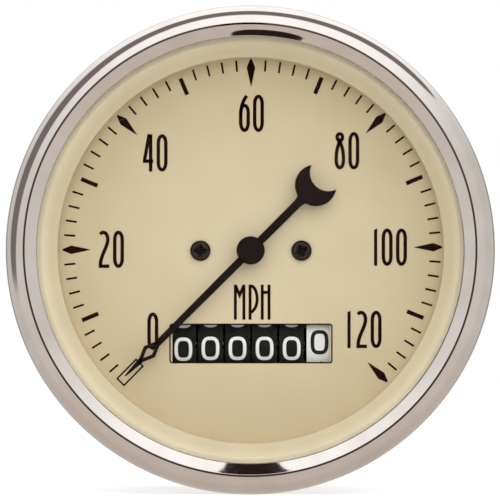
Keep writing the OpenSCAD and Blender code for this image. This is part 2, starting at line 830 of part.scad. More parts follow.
// A number wheel: rim and web, with an internal gear on its right and two carry teeth on its left
module number_wheel(i) {
    x = wheel_x(i);
    has_gear = i > 0;
    has_carry = i < wheel_count - 1;
    web_right = has_gear ? web_t / 2 : wheel_w / 2;
    web_left = has_carry ? web_t / 2 : wheel_w / 2;
    cavity_left = wheel_w / 2 - web_left;
    cavity_right = wheel_w / 2 - web_right;
    carry_h = 0.25;
    place() difference() {
        along_x(x - wheel_w / 2, wheel_w) translate([axle_y, axle_z]) difference() {
            circle(r = wheel_r);
            circle(r = axle_r + run_fit);
        }
        if (has_gear)
            along_x(x + web_right, cavity_right + 1) translate([axle_y, axle_z])
                gear_2d(carry_teeth, carry_r - 0.45, carry_r, rim_r, 0.62, 270);
        if (has_carry)
            along_x(x - wheel_w / 2 - 1, cavity_left + 1) translate([axle_y, axle_z]) difference() {
                circle(r = rim_r);
                for (a = [81, 99])
                    rotate(a) translate([rim_r - carry_h, -0.5]) square([1, 1]);
            }
    }
}

module tenths_wheel() {
    color("whitesmoke") number_wheel(0);
}

module units_wheel() {
    color([0.13, 0.13, 0.12]) number_wheel(1);
}

module tens_wheel() {
    color([0.13, 0.13, 0.12]) number_wheel(2);
}

module hundreds_wheel() {
    color([0.13, 0.13, 0.12]) number_wheel(3);
}

module thousands_wheel() {
    color([0.13, 0.13, 0.12]) number_wheel(4);
}

module ten_thousands_wheel() {
    color([0.13, 0.13, 0.12]) number_wheel(5);
}

// Middle of the gap between a wheel and the next one on its left
function gap_x(k) = (wheel_x(k - 1) + wheel_x(k)) / 2;

module carry_pinion(k) {
    place() translate([0, axle_y, axle_z - pinion_offset]) {
        for (side = [-1, 1])
            along_x(gap_x(k) + (side < 0 ? -pinion_half : between / 2), pinion_half - between / 2)
                gear_2d(pinion_teeth, pinion_root_r, pinion_r, pinion_tip_r, 0.36, 270);
        along_x(gap_x(k) - between / 2 - tiny, between + 2 * tiny) circle(r = waist_r);
    }
}

module carry_pinion_1() {
    color("goldenrod") carry_pinion(1);
}

module carry_pinion_2() {
    color("goldenrod") carry_pinion(2);
}

module carry_pinion_3() {
    color("goldenrod") carry_pinion(3);
}

module carry_pinion_4() {
    color("goldenrod") carry_pinion(4);
}

module carry_pinion_5() {
    color("goldenrod") carry_pinion(5);
}

module odometer_axle() {
    color("lightgray") place()
        along_x(left_plate_x - 0.6, right_plate_x + plate_t - left_plate_x + 1.2)
            translate([axle_y, axle_z]) circle(r = axle_r);
}

// Outline of a carrier: an eye on the axle, an open jaw round the pinion's waist, a tail to the rail
module carrier_2d() {
    eye_r = axle_r + 1;
    jaw_r = waist_r + 1;
    tail_w = 2.4;
    difference() {
        union() {
            circle(r = eye_r);
            translate([0, -pinion_offset]) circle(r = jaw_r);
            translate([-1.2, -pinion_offset]) square([2.4, pinion_offset]);
            translate([-rail_drop, -tail_w / 2]) square([rail_drop, tail_w]);
            translate([-rail_drop, 0]) circle(r = rail_r + 0.9);
        }
        circle(r = axle_r + seat_fit);
        translate([0, -pinion_offset]) circle(r = waist_r + run_fit);
        translate([-waist_r * 0.8, -pinion_offset - jaw_r - 1]) square([waist_r * 1.6, jaw_r + 1]);
        translate([-rail_drop, 0]) circle(r = rail_r + seat_fit);
    }
}

module pinion_carriers() {
    color("silver") place() for (k = [1:wheel_count - 1])
        along_x(gap_x(k) - carrier_t / 2, carrier_t) translate([axle_y, axle_z]) carrier_2d();
}

module carrier_rail() {
    color("lightgray") place()
        along_x(left_plate_x - 0.6, right_plate_x + plate_t - left_plate_x + 1.2)
            translate([rail_y, axle_z]) circle(r = rail_r);
}

// Outline of a side plate, from the base plate up past the axle
module side_plate_2d() {
    head_r = 3.2;
    difference() {
        union() {
            translate([axle_y - plate_half - 2, z_base_top]) square([2 * plate_half, axle_z - z_base_top]);
            translate([axle_y, axle_z]) circle(r = head_r);
            translate([rail_y, axle_z]) circle(r = rail_r + 1.4);
            translate([rail_y, axle_z - rail_r - 1.4]) square([rail_drop, 2 * rail_r + 2.8]);
        }
        translate([axle_y, axle_z]) circle(r = axle_r + seat_fit);
        translate([rail_y, axle_z]) circle(r = rail_r + seat_fit);
        translate([lay_y, lay_z]) circle(r = lay_shaft_r + run_fit);
    }
}

// Places of the side plates' foot screws on the base plate
module at_feet() {
    for (x = [left_plate_x - plate_foot_l / 2, right_plate_x + plate_t + plate_foot_l / 2])
        translate([x, axle_y - 2, 0]) children();
}

// A side plate whose foot points away from the wheels
module side_plate(x, foot_x) {
    color("silver") place() {
        along_x(x, plate_t) side_plate_2d();
        difference() {
            translate([foot_x, axle_y - plate_half - 2, z_base_top])
                cube([plate_foot_l + tiny, 2 * plate_half, plate_foot_t]);
            at_feet() translate([0, 0, z_base_top - 1]) cylinder(r = foot_screw_r + seat_fit, h = 4);
        }
    }
}

module left_side_plate() {
    side_plate(left_plate_x, left_plate_x - plate_foot_l);
}

module right_side_plate() {
    side_plate(right_plate_x, right_plate_x + plate_t - tiny);
}

module side_plate_screws() {
    color("darkgray") place() at_feet() translate([0, 0, z_base_top + plate_foot_t]) difference() {
        screw(foot_screw_r, plate_foot_t + foot_screw_l, foot_screw_r + head_over, head_t);
        slot(foot_screw_r + head_over, head_t);
    }
}

// Places of the two dial lamps
module at_lamps() {
    for (side = [-1, 1]) translate([side * lamp_x, lamp_y, 0]) children();
}

module lamp_sockets() {
    color("silver") place() at_lamps() difference() {
        union() {
            ring(lamp_r, 0, z_rear - tiny, z_socket);
            ring(lamp_r + 1.6, 0, z_rear - socket_flange_t, z_rear);
            ring(lamp_r - 1.5, 0, z_rear - socket_flange_t - socket_boss_l, z_rear - socket_flange_t + tiny);
        }
        ring(bulb_r + seat_fit, 0, z_base, z_socket + 1);
        ring(contact_r + seat_fit, 0, z_rear - socket_flange_t - socket_boss_l - 1, z_base + 1);
    }
}

module lamp_bulbs() {
    base_l = z_socket - z_base - 0.8;
    color([1, 0.95, 0.8, 0.6]) place() at_lamps() {
        ring(bulb_r, 0, z_socket - base_l, z_socket + 2);
        translate([0, 0, z_socket + 2]) rotate_extrude()
            polygon(concat([[0, -tiny], [bulb_r - 0.4, -tiny]], arc([0, 3], bulb_r - 0.4, 0, 90, 8)));
    }
}

module lamp_contacts() {
    color("goldenrod") place() at_lamps() {
        ring(contact_r, 0, z_rear - socket_flange_t - socket_boss_l - contact_out, z_base + 0.8);
    }
}

bezel();
lens();
lens_gasket();
reflector_ring();
case();
case_screws();
dial_plate();
dial_screws();
pointer();
pointer_hub();
spindle();
hairspring_collet();
speed_cup();
hairspring();
hairspring_stud();
top_bush();
bridge();
bridge_screws();
field_cup();
frame();
mounting_studs();
cable_nose();
drive_bush();
drive_shaft();
magnet();
lower_bush();
drive_worm();
first_shaft();
first_worm_wheel();
second_worm();
lay_shaft();
second_worm_wheel();
lay_gear();
odometer_gear();
tenths_wheel();
units_wheel();
tens_wheel();
hundreds_wheel();
thousands_wheel();
ten_thousands_wheel();
carry_pinion_1();
carry_pinion_2();
carry_pinion_3();
carry_pinion_4();
carry_pinion_5();
odometer_axle();
pinion_carriers();
carrier_rail();
left_side_plate();
right_side_plate();
side_plate_screws();
lamp_sockets();
lamp_bulbs();
lamp_contacts();
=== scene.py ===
# %% [markdown]
# A panel speedometer in the style of the 1930s: a chrome bezel, a cream dial under flat glass, a black
# pointer with an open diamond and a crescent tail, and a six-wheel odometer. The construction comes as
# a fixed frame of solids, and this lesson dresses it. A scene could also model everything again from
# the photograph, but then nothing would fit. Here a place or a level comes from the frame wherever a
# solid has it.

# %% Load the frame
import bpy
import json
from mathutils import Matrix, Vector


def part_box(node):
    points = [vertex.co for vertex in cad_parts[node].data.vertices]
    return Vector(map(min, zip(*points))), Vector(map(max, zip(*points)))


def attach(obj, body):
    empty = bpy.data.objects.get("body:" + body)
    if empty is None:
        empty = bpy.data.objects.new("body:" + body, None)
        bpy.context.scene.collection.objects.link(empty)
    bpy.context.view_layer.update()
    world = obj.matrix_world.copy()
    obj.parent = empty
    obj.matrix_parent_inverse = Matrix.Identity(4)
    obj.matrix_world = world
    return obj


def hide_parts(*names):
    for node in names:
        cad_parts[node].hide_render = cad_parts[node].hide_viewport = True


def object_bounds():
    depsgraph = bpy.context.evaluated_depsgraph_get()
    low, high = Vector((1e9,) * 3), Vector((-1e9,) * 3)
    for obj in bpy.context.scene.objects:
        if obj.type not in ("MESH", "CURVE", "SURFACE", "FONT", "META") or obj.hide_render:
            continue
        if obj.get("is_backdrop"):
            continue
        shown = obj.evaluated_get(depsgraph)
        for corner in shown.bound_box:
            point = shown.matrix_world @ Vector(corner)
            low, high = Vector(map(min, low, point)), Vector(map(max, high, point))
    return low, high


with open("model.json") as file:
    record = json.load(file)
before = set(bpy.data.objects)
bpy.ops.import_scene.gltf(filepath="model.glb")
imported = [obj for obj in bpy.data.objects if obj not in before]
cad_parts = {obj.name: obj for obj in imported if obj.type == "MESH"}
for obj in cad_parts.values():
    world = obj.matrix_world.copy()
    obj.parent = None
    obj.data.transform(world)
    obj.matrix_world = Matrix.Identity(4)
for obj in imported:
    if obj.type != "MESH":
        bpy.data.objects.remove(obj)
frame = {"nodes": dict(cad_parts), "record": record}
cad_low, cad_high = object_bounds()
print("solids loaded:", len(frame["nodes"]))

# %% [markdown]
# The dial has a frame of its own, which is easier to think in: x to the right, y up, z towards the
# viewer, in millimetres. The object's frame has the dial facing -Y, so a point turns by a quarter.
# Levels are read from the boxes of the solids, so a new piece always sits where its solid is.

# %% Measures of the solids
import numpy as np

MM = 0.001


def reach(node):
    """Lowest and highest corner of a solid in the dial's own frame, in millimetres."""
    low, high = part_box(node)
    return np.array([low.x, low.z, -high.y]) / MM, np.array([high.x, high.z, -low.y]) / MM


bezel_low, bezel_high = reach("bezel")
BEZEL_R = bezel_high[0]
BEZEL_TOP = bezel_high[2]
BEZEL_BACK = bezel_low[2]
LENS_TOP = reach("lens")[1][2]
DIAL_FACE = reach("dial_plate")[1][2]
print("bezel radius", round(BEZEL_R, 2), "dial face at", round(DIAL_FACE, 2))

# %% [markdown]
# Most pieces are grids: a profile carried round an axis, or a section carried along a path. One helper
# numbers the quads of such a grid, and another joins several shapes into one. Blender's own primitives
# would be quicker to call, but a grid keeps its points in order, so the formula of the shape stays in
# sight.

# %% Grids
def to_row(points):
    """Dial millimetres (x, y, z) become the frame's metres (x, -z, y)."""
    return np.stack([points[..., 0], -points[..., 2], points[..., 1]], axis=-1) * MM


def grid_faces(rows, columns, close_rows, close_columns):
    """Each point of the grid makes a quad with its next row and column; a closed side wraps round."""
    last_row = rows if close_rows else rows - 1
    last_column = columns if close_columns else columns - 1
    row, column = np.meshgrid(np.arange(last_row), np.arange(last_column), indexing="ij")
    below, right = (row + 1) % rows, (column + 1) % columns
    corners = [row * columns + column, below * columns + column,
               below * columns + right, row * columns + right]
    return np.stack(corners, axis=-1).reshape(-1, 4)


def joined(parts):
    """Several meshes as one: each mesh's face numbers are raised by the points that come before it."""
    starts = np.cumsum([0] + [len(points) for points, faces in parts])
    points = np.vstack([part[0] for part in parts])
    faces = np.vstack([part[1] + start for part, start in zip(parts, starts)])
    return points, faces


print("a grid of 3 by 4 points has", len(grid_faces(3, 4, False, False)), "quads")

# %% [markdown]
# A shape becomes a piece when it is put into a mesh, gets its finish and is told which body it rides on.
# On the way, points that meet at a pole are merged, all faces are turned outwards, and edges stay sharp
# where they turn by more than an angle. All this can be done by hand in Edit Mode, but a helper does it
# in the same way for every piece.

# %% Pieces
import bmesh
import bpy

MERGE_M = 1e-7
SHARP_DEGREES = 35


def put_in_scene(name, data):
    """An object at the origin that holds a mesh, a lamp or a camera."""
    thing = bpy.data.objects.new(name, data)
    bpy.context.scene.collection.objects.link(thing)
    return thing


def make_piece(name, shape, finish, body):
    """A piece of the object: a mesh with merged poles, outward faces, and sharp edges past an angle."""
    points, faces = shape
    mesh = bpy.data.meshes.new(name)
    mesh.from_pydata(to_row(points), [], faces)
    shell = bmesh.new()
    shell.from_mesh(mesh)
    bmesh.ops.remove_doubles(shell, verts=shell.verts, dist=MERGE_M)
    bmesh.ops.recalc_face_normals(shell, faces=shell.faces)
    shell.to_mesh(mesh)
    shell.free()
    mesh.shade_smooth()
    mesh.set_sharp_from_angle(angle=np.radians(SHARP_DEGREES))
    mesh.materials.append(finish)
    piece = put_in_scene(name, mesh)
    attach(piece, body)
    print(name, "has", len(mesh.polygons), "faces")
    return piece


print("edges stay sharp from", SHARP_DEGREES, "degrees")

# %% [markdown]
# Two curves draw every profile and every letter: an arc, and a cubic curve that is bent by two handles.
# Both could be drawn as Blender curves by hand, but as formulas they take their ends from named sizes.

# %% Curves
def heading(degrees):
    """The unit step at an angle from the first axis: (cos a, sin a)."""
    return np.array([np.cos(np.radians(degrees)), np.sin(np.radians(degrees))])


def arc(centre, radii, start, end, count):
    """Points of a circle or ellipse about a centre: x = rx cos a, y = ry sin a, from start to end in
    degrees. One radius gives a circle, two give an ellipse."""
    return np.array(centre) + np.array(radii) * heading(np.linspace(start, end, count)).T


def bezier(start, first_handle, second_handle, end, count):
    """A cubic curve from start to end: the four points weighed by s^3, 3ts^2, 3t^2s and t^3, where t is
    the share of the way and s is the rest of it."""
    share = np.linspace(0, 1, count)[:, None]
    rest = 1 - share
    weights = np.hstack([rest**3, 3 * share * rest**2, 3 * share**2 * rest, share**3])
    return weights @ np.array([start, first_handle, second_handle, end], float)


print("a quarter of a circle ends at", arc((0, 0), 1, 0, 90, 5)[-1].round(3))

# %% [markdown]
# The lathe turns a profile about the axis, as the real bezel, cap and holders are turned or spun. A Screw
# modifier would do that too, but here the radius and the height may also change with the angle, which the
# threads and the cross in a screw's head need. A profile is a closed ring, or it begins and ends on the
# axis.

# %% Lathe
ROUND_STEPS = 256
ON_AXIS = 1e-6


def full_turn(count):
    """The angles of a full turn in radians, without the last one, which is the first again."""
    return np.linspace(0, 2 * np.pi, count, endpoint=False)


def all_round(values, count):
    """One value per row, repeated at every angle; values that change with the angle stay as they are."""
    values = np.asarray(values, float)
    return values if values.ndim == 2 else np.repeat(values[:, None], count, axis=1)


def lathe(radii, heights, count=ROUND_STEPS):
    """A profile turned about the axis: x = r cos a, y = r sin a, z = the height. A profile that begins
    and ends on the axis is closed there, and any other is joined from its end to its start."""
    angle = full_turn(count)
    radii = all_round(radii, count)
    points = np.stack([radii * np.cos(angle), radii * np.sin(angle), all_round(heights, count)], axis=-1)
    is_ring = radii[[0, -1]].max() > ON_AXIS
    return points.reshape(-1, 3), grid_faces(len(radii), count, is_ring, True)


def turned(shape, degrees, centre=(0, 0)):
    """A shape turned about the dial's axis, then moved to a centre in the dial's plane."""
    points, faces = shape
    cosine, sine = heading(degrees)
    x, y, z = points.T
    moved = [cosine * x - sine * y + centre[0], sine * x + cosine * y + centre[1], z]
    return np.stack(moved, axis=-1), faces


print("a turned square rod has", len(lathe([0, 1, 1, 0], [0, 0, 1, 1], 4)[1]), "faces")

# %% [markdown]
# Flat pieces, such as the print and the pointer, are bands: a section is carried between two edges that
# run side by side. A filled outline with a Solidify modifier would give a flat piece as well, but a band
# can also have rounded or sloping edges, by its section.

# %% Bands
SQUARE = np.array([[1, 0], [1, 1], [-1, 1], [-1, 0]], float)


def band(edge_a, edge_b, low, high, closed=False, section=SQUARE):
    """Carries a section between two edges: each section point lies at a share of the way from the middle
    to an edge, and at a share of the height from low to high. Open ends are closed by quads."""
    middle, half = (edge_a + edge_b) / 2, (edge_a - edge_b) / 2
    flat = middle[:, None, :] + half[:, None, :] * section[None, :, :1]
    height = np.broadcast_to(low + (high - low) * section[:, 1], flat.shape[:2])
    points = np.concatenate([flat, height[..., None]], axis=-1)
    count = len(section)
    faces = grid_faces(len(points), count, closed, True)
    if not closed:
        near = np.arange(count // 2 - 1)
        far = count - 1 - near
        cap = np.stack([near, near + 1, far - 1, far], axis=-1)
        faces = np.vstack([faces, cap[:, ::-1], cap + count * (len(points) - 1)])
    return points.reshape(-1, 3), faces


print("a band has a section of", len(SQUARE), "points")

# %% [markdown]
# Ink, pointer and figures are drawn as a draughtsman would, one pen stroke after the other. A stroke is a
# band whose edges lie half a width to either side of a path, and are mitred where it turns. A Blender
# curve with a bevel gives strokes too, but with less say over corners and changing widths.

# %% Strokes
MITRE_LIMIT = 0.35


def unit_steps(steps):
    """Each step divided by its own length."""
    return steps / np.linalg.norm(steps, axis=1, keepdims=True)


def edges_of(path, width, closed=False):
    """Both edges of a stroke: half the width along the mitre of the two directions that meet there."""
    path = np.asarray(path, float)
    if closed:
        ahead, behind = np.roll(path, -1, axis=0) - path, path - np.roll(path, 1, axis=0)
    else:
        step = np.diff(path, axis=0)
        ahead, behind = np.vstack([step, step[-1:]]), np.vstack([step[:1], step])
    ahead = unit_steps(ahead)
    along = unit_steps(ahead + unit_steps(behind))
    side = np.stack([-along[:, 1], along[:, 0]], axis=-1)
    mitre = 1 / np.maximum((along * ahead).sum(axis=1), MITRE_LIMIT)
    offset = side * (np.broadcast_to(width, len(path)) / 2 * mitre)[:, None]
    return path + offset, path - offset


def stroke(path, width, low, high, closed=False, section=SQUARE):
    """A pen stroke along a path between two levels, of one width or with a width at each point."""
    edge_a, edge_b = edges_of(path, width, closed)
    return band(edge_a, edge_b, low, high, closed, section)


print("strokes are ready:", len(stroke([[0, 0], [1, 0]], 0.5, 0, 1)[1]), "faces for one bar")

# %% [markdown]
# Finishes. Each is a Principled shader whose colour, roughness and relief come from noise in Object
# coordinates, so that no surface is one flat colour and nothing has to be unwrapped. Image textures
# would do as well, but a procedure stays sharp at any distance. Colours are given as they look on a
# screen, and turned into the linear values that the shader wants.

# %% Colours
def tint(screen):
    """A screen colour of 0 to 255 as linear light: a share of 255 is divided by 12.92 up to 0.04045, and
    above that 0.055 is added, the sum is divided by 1.055 and raised to the power 2.4."""
    share = np.array(screen) / 255
    linear = np.where(share <= 0.04045, share / 12.92, ((share + 0.055) / 1.055) ** 2.4)
    return (*linear, 1.0)


def new_finish(name):
    """A material, its node tree, its Principled shader and its Object coordinates."""
    finish = bpy.data.materials.new(name)
    finish.use_nodes = True
    tree = finish.node_tree
    place = tree.nodes.new("ShaderNodeTexCoord")
    return finish, tree, tree.nodes["Principled BSDF"], place.outputs["Object"]


print("a mid grey on screen is", round(tint((128, 128, 128))[0], 3), "in linear light")

# %% [markdown]
# Real paint and metal are never quite even: their colour drifts, and their gloss and relief change from
# spot to spot. One cloudy noise serves for all three. A Voronoi or wave texture would show its pattern.

# %% Noise
EVEN = (1, 1, 1)
BLOT_DETAIL = 3.0


def noise(tree, place, blot_mm, detail=BLOT_DETAIL, stretch=EVEN):
    """Cloudy noise with blots about blot_mm across, squeezed along an axis where stretch is above 1."""
    mapping = tree.nodes.new("ShaderNodeMapping")
    mapping.inputs["Scale"].default_value = stretch
    texture = tree.nodes.new("ShaderNodeTexNoise")
    texture.inputs["Scale"].default_value = 1 / (blot_mm * MM)
    texture.inputs["Detail"].default_value = detail
    tree.links.new(place, mapping.inputs["Vector"])
    tree.links.new(mapping.outputs["Vector"], texture.inputs["Vector"])
    return texture.outputs["Fac"]


print("blots have noise of detail", BLOT_DETAIL)

# %% [markdown]
# A noise goes from 0 to 1, but nearly all of its values lie in the middle. That span is stretched to what
# is wanted, a roughness between two limits or a colour between two shades. For relief, a bump reads the
# noise as heights. Displaced points would be real relief, but hills this low need no finer mesh.

# %% Shades and relief
NOISE_LOW, NOISE_HIGH = 0.3, 0.7


def spread(tree, value, low, high):
    """Stretches the middle of a noise over the span from low to high."""
    remap = tree.nodes.new("ShaderNodeMapRange")
    remap.inputs["From Min"].default_value = NOISE_LOW
    remap.inputs["From Max"].default_value = NOISE_HIGH
    remap.inputs["To Min"].default_value = low
    remap.inputs["To Max"].default_value = high
    tree.links.new(value, remap.inputs["Value"])
    return remap.outputs["Result"]


def shade(tree, value, dark, light):
    """Blends from a dark to a light colour over the middle of a noise."""
    ramp = tree.nodes.new("ShaderNodeValToRGB")
    first, last = ramp.color_ramp.elements
    first.position, last.position = NOISE_LOW, NOISE_HIGH
    first.color, last.color = dark, light
    tree.links.new(value, ramp.inputs["Fac"])
    return ramp.outputs["Color"]


def relief(tree, value, depth_mm):
    """A bump whose hills are depth_mm high."""
    bump = tree.nodes.new("ShaderNodeBump")
    bump.inputs["Distance"].default_value = depth_mm * MM
    tree.links.new(value, bump.inputs["Height"])
    return bump.outputs["Normal"]


print("noise is used from", NOISE_LOW, "to", NOISE_HIGH)

# %% [markdown]
# Nearly all finishes follow one recipe: wide blots vary the colour a little, and a fine grain varies the
# gloss and raises a faint relief. A finish may also have a dark colour for dirt and painted shade, which
# shows where the mesh is marked. Each material could be built by hand in the shader editor, but with one
# recipe they differ only in the numbers that matter.

# %% Surfaces
GRAIN_DETAIL = 4.0


def dress(tree, shader, colour, grain, rough, depth_mm):
    """Joins a colour to the shader, and a grain that varies the roughness and raises the relief."""
    tree.links.new(colour, shader.inputs["Base Color"])
    tree.links.new(spread(tree, grain, *rough), shader.inputs["Roughness"])
    tree.links.new(relief(tree, grain, depth_mm), shader.inputs["Normal"])


def grimy(tree, colour, dirt):
    """Blends a colour into the dark of dirt and painted shade where the mesh's mark is high; an unmarked
    mesh keeps its colour.
    """
    mark = tree.nodes.new("ShaderNodeAttribute")
    mark.attribute_name = "dirt_and_shade_mark"
    blend = tree.nodes.new("ShaderNodeMix")
    blend.data_type = "RGBA"
    blend.inputs["B"].default_value = dirt
    tree.links.new(mark.outputs["Fac"], blend.inputs["Factor"])
    tree.links.new(colour, blend.inputs["A"])
    return blend.outputs["Result"]


def surface(name, dark, light, rough, blot_mm, grain_mm, depth_mm, metallic=0.0, sheen=0.5, dirt=None,
            stretch=EVEN, detail=GRAIN_DETAIL):
    """Blots go from the dark to the light screen colour, the grain goes from one roughness to another,
    and the dark of dirt and painted shade, where it is given, covers the colour by the mark."""
    finish, tree, shader, place = new_finish(name)
    colour = shade(tree, noise(tree, place, blot_mm), tint(dark), tint(light))
    if dirt:
        colour = grimy(tree, colour, tint(dirt))
    dress(tree, shader, colour, noise(tree, place, grain_mm, detail, stretch), rough, depth_mm)
    shader.inputs["Metallic"].default_value = metallic
    shader.inputs["Specular IOR Level"].default_value = sheen
    return finish


rubber = surface("rubber", (24, 24, 24), (34, 33, 32), rough=(0.7, 0.85), blot_mm=2, grain_mm=0.3,
                 depth_mm=0.004)
print("first finish by the recipe:", rubber.name)

# %% [markdown]
# Paints and plastics. Enamel shows a very fine orange peel. The pointer is dipped in a satin black with a
# touch of brown, the print is a matt ink, and the number wheels are moulded. The dial screws are
# blackened steel, with painted shade in the cross, in a dish round it and at the rim, by the mark. All
# these blacks have little sheen, because the white studio would turn them grey. A picture of each paint
# would do too, but its grain would have to be matched to the size of the piece.

# %% Paints and plastics
CREAM = ((218, 204, 174), (224, 210, 181))
PEEL_ROUGH = (0.55, 0.68)
PEEL_MM = 0.5
PEEL_DEPTH = 0.004
CREAM_BLOT = 9
CREAM_SHEEN = 0.3
cream = surface("cream_enamel", *CREAM, rough=PEEL_ROUGH, blot_mm=CREAM_BLOT, grain_mm=PEEL_MM,
                depth_mm=PEEL_DEPTH, sheen=CREAM_SHEEN)
pointer_black = surface("pointer_black", (22, 13, 11), (30, 19, 17), rough=(0.5, 0.64), blot_mm=3,
                        grain_mm=0.25, depth_mm=0.004, sheen=0.05)
ink_black = surface("dial_ink", (26, 8, 4), (36, 15, 9), rough=(0.7, 0.85), blot_mm=2,
                    grain_mm=0.15, depth_mm=0.003, sheen=0.02)
drum_black = surface("black_plastic", (22, 22, 18), (30, 30, 25), rough=(0.5, 0.65), blot_mm=2,
                     grain_mm=0.3, depth_mm=0.005, sheen=0.06)
drum_white = surface("white_plastic", (222, 221, 219), (234, 233, 231), rough=(0.4, 0.55), blot_mm=2,
                     grain_mm=0.3, depth_mm=0.004, sheen=0.3)
figure_white = surface("figure_white", (226, 225, 221), (238, 237, 233), rough=(0.55, 0.7), blot_mm=1.5,
                       grain_mm=0.2, depth_mm=0.004, sheen=0.2)
figure_black = surface("figure_black", (30, 30, 27), (40, 40, 36), rough=(0.55, 0.7), blot_mm=1.5,
                       grain_mm=0.2, depth_mm=0.004, sheen=0.1)
# The screws' dark colour by the mark is painted shade.
screw_black = surface("black_screw", (30, 21, 19), (68, 56, 51), rough=(0.3, 0.45), blot_mm=0.4,
                      grain_mm=0.2, depth_mm=0.008, sheen=0.08, dirt=(6, 3, 3))
print("paints:", cream.name, pointer_black.name, screw_black.name, ink_black.name)

# %% [markdown]
# The cream isn't one shade all over: painted shade darkens the dial outwards from the hub, and painted
# light makes the lip of the funnel paler than its slope. A painted map could show that. Here two shades
# of enamel are blended by the distance from the axis, which needs no map and follows any change of size.

# %% Enamel with painted light and shade
def fading_enamel(name, near_mm, far_mm, near_tints, far_tints):
    """Cream enamel whose painted light and shade go from one pair of tints to another with the distance
    from the axis, which is the length of the place with its depth set to zero."""
    finish, tree, shader, place = new_finish(name)
    flat = tree.nodes.new("ShaderNodeVectorMath")
    flat.operation = "MULTIPLY"
    flat.inputs[1].default_value = (1, 0, 1)
    length = tree.nodes.new("ShaderNodeVectorMath")
    length.operation = "LENGTH"
    outward = tree.nodes.new("ShaderNodeMapRange")
    outward.inputs["From Min"].default_value = near_mm * MM
    outward.inputs["From Max"].default_value = far_mm * MM
    blend = tree.nodes.new("ShaderNodeMix")
    blend.data_type = "RGBA"
    blots = noise(tree, place, CREAM_BLOT)
    tree.links.new(place, flat.inputs[0])
    tree.links.new(flat.outputs["Vector"], length.inputs[0])
    tree.links.new(length.outputs["Value"], outward.inputs["Value"])
    tree.links.new(outward.outputs["Result"], blend.inputs["Factor"])
    for side, (dark, light) in (("A", near_tints), ("B", far_tints)):
        tree.links.new(shade(tree, blots, tint(dark), tint(light)), blend.inputs[side])
    peel = noise(tree, place, PEEL_MM, GRAIN_DETAIL)
    dress(tree, shader, blend.outputs["Result"], peel, PEEL_ROUGH, PEEL_DEPTH)
    shader.inputs["Specular IOR Level"].default_value = CREAM_SHEEN
    return finish


DIAL_NEAR_HUB = ((209, 194, 161), (214, 199, 167))
DIAL_RIM_PAINTED_SHADE = ((196, 180, 146), (201, 185, 151))
FUNNEL_LIP_PAINTED_LIGHT = ((236, 222, 191), (242, 228, 198))
# Painted shade: the dial darkens outwards from the hub.
dial_cream_with_painted_shade = fading_enamel("dial_enamel_painted_shade", near_mm=8, far_mm=37, near_tints=DIAL_NEAR_HUB,
                           far_tints=DIAL_RIM_PAINTED_SHADE)
# Painted light: the funnel's lip is paler than its slope.
funnel_cream_with_painted_light = fading_enamel("funnel_enamel_painted_light", near_mm=38.2, far_mm=40, near_tints=CREAM,
                             far_tints=FUNNEL_LIP_PAINTED_LIGHT)
print("enamels:", dial_cream_with_painted_shade.name, funnel_cream_with_painted_light.name)

# %% [markdown]
# Metals. Chrome plate is nearly a mirror, so its noise is faint: a breath of haze and hairline wiping
# marks. Zinc plate, die castings, tinned sheet, brass and turned steel differ in hue, grain and gloss.
# With one even roughness they would all look like the same wet grey. The case is drawn from sheet, so
# its grain runs along the axis. Chrome and zinc are darkened by the mark: polish and painted shade in the
# bezel's groove, darker thread roots, and painted shade on the floor of the screw slots.

# %% Metals
WIPE_DETAIL = 5.0
WIPED_UPRIGHT = (1, 1, 6)
DRAWN_ALONG_AXIS = (1, 0.04, 1)


def metal(name, dark, light, **recipe):
    """A surface that is all metal."""
    return surface(name, dark, light, metallic=1.0, **recipe)


# Chrome's dark colour by the mark: polish and painted shade in the bezel's groove.
chrome = metal("chrome", (193, 188, 181), (200, 196, 190), rough=(0.02, 0.045), blot_mm=6, grain_mm=1.2,
               depth_mm=0.0002, dirt=(92, 82, 84), stretch=WIPED_UPRIGHT, detail=WIPE_DETAIL)
case_zinc = metal("case_steel", (178, 180, 182), (190, 192, 194), rough=(0.26, 0.4), blot_mm=12,
                  grain_mm=1.0, depth_mm=0.0015, stretch=DRAWN_ALONG_AXIS)
# Zinc's dark colour by the mark: darker thread roots, and painted shade in the screw slots.
zinc = metal("zinc_steel", (206, 206, 204), (220, 220, 217), rough=(0.18, 0.26), blot_mm=3,
             grain_mm=0.8, depth_mm=0.0004, dirt=(84, 81, 77))
die_cast = metal("die_cast", (150, 150, 148), (176, 175, 171), rough=(0.45, 0.62), blot_mm=5,
                 grain_mm=0.4, depth_mm=0.02)
spun_aluminium = metal("aluminium", (196, 197, 199), (216, 217, 218), rough=(0.24, 0.38), blot_mm=4,
                       grain_mm=0.3, depth_mm=0.004)
magnet_grey = metal("magnet_steel", (84, 84, 88), (108, 107, 108), rough=(0.4, 0.58), blot_mm=3,
                    grain_mm=0.4, depth_mm=0.01)
tin_plate = metal("tinned_steel", (204, 203, 199), (216, 215, 210), rough=(0.16, 0.22), blot_mm=6,
                  grain_mm=1.5, depth_mm=0.0003)
turned_steel = metal("bright_steel", (196, 197, 198), (216, 216, 216), rough=(0.16, 0.28), blot_mm=2,
                     grain_mm=0.2, depth_mm=0.003)
brass = metal("brass", (186, 150, 88), (208, 174, 110), rough=(0.16, 0.28), blot_mm=3,
              grain_mm=0.3, depth_mm=0.002)
print("metals:", chrome.name, case_zinc.name, zinc.name, brass.name)

# %% [markdown]
# Glass. The lens is flat and coated, so it hardly shows: a clear shader lets the light through to the
# dial, and a sharp gloss is mixed in by Fresnel's law, faint in front and strong at a glancing angle.
# A refracting shader would be closer to theory, but it throws the dial into shadow. The bulbs are made
# in the same way, with more gloss and a warm tint.

# %% Glass
GLASS_HAZE = (0.01, 0.04)


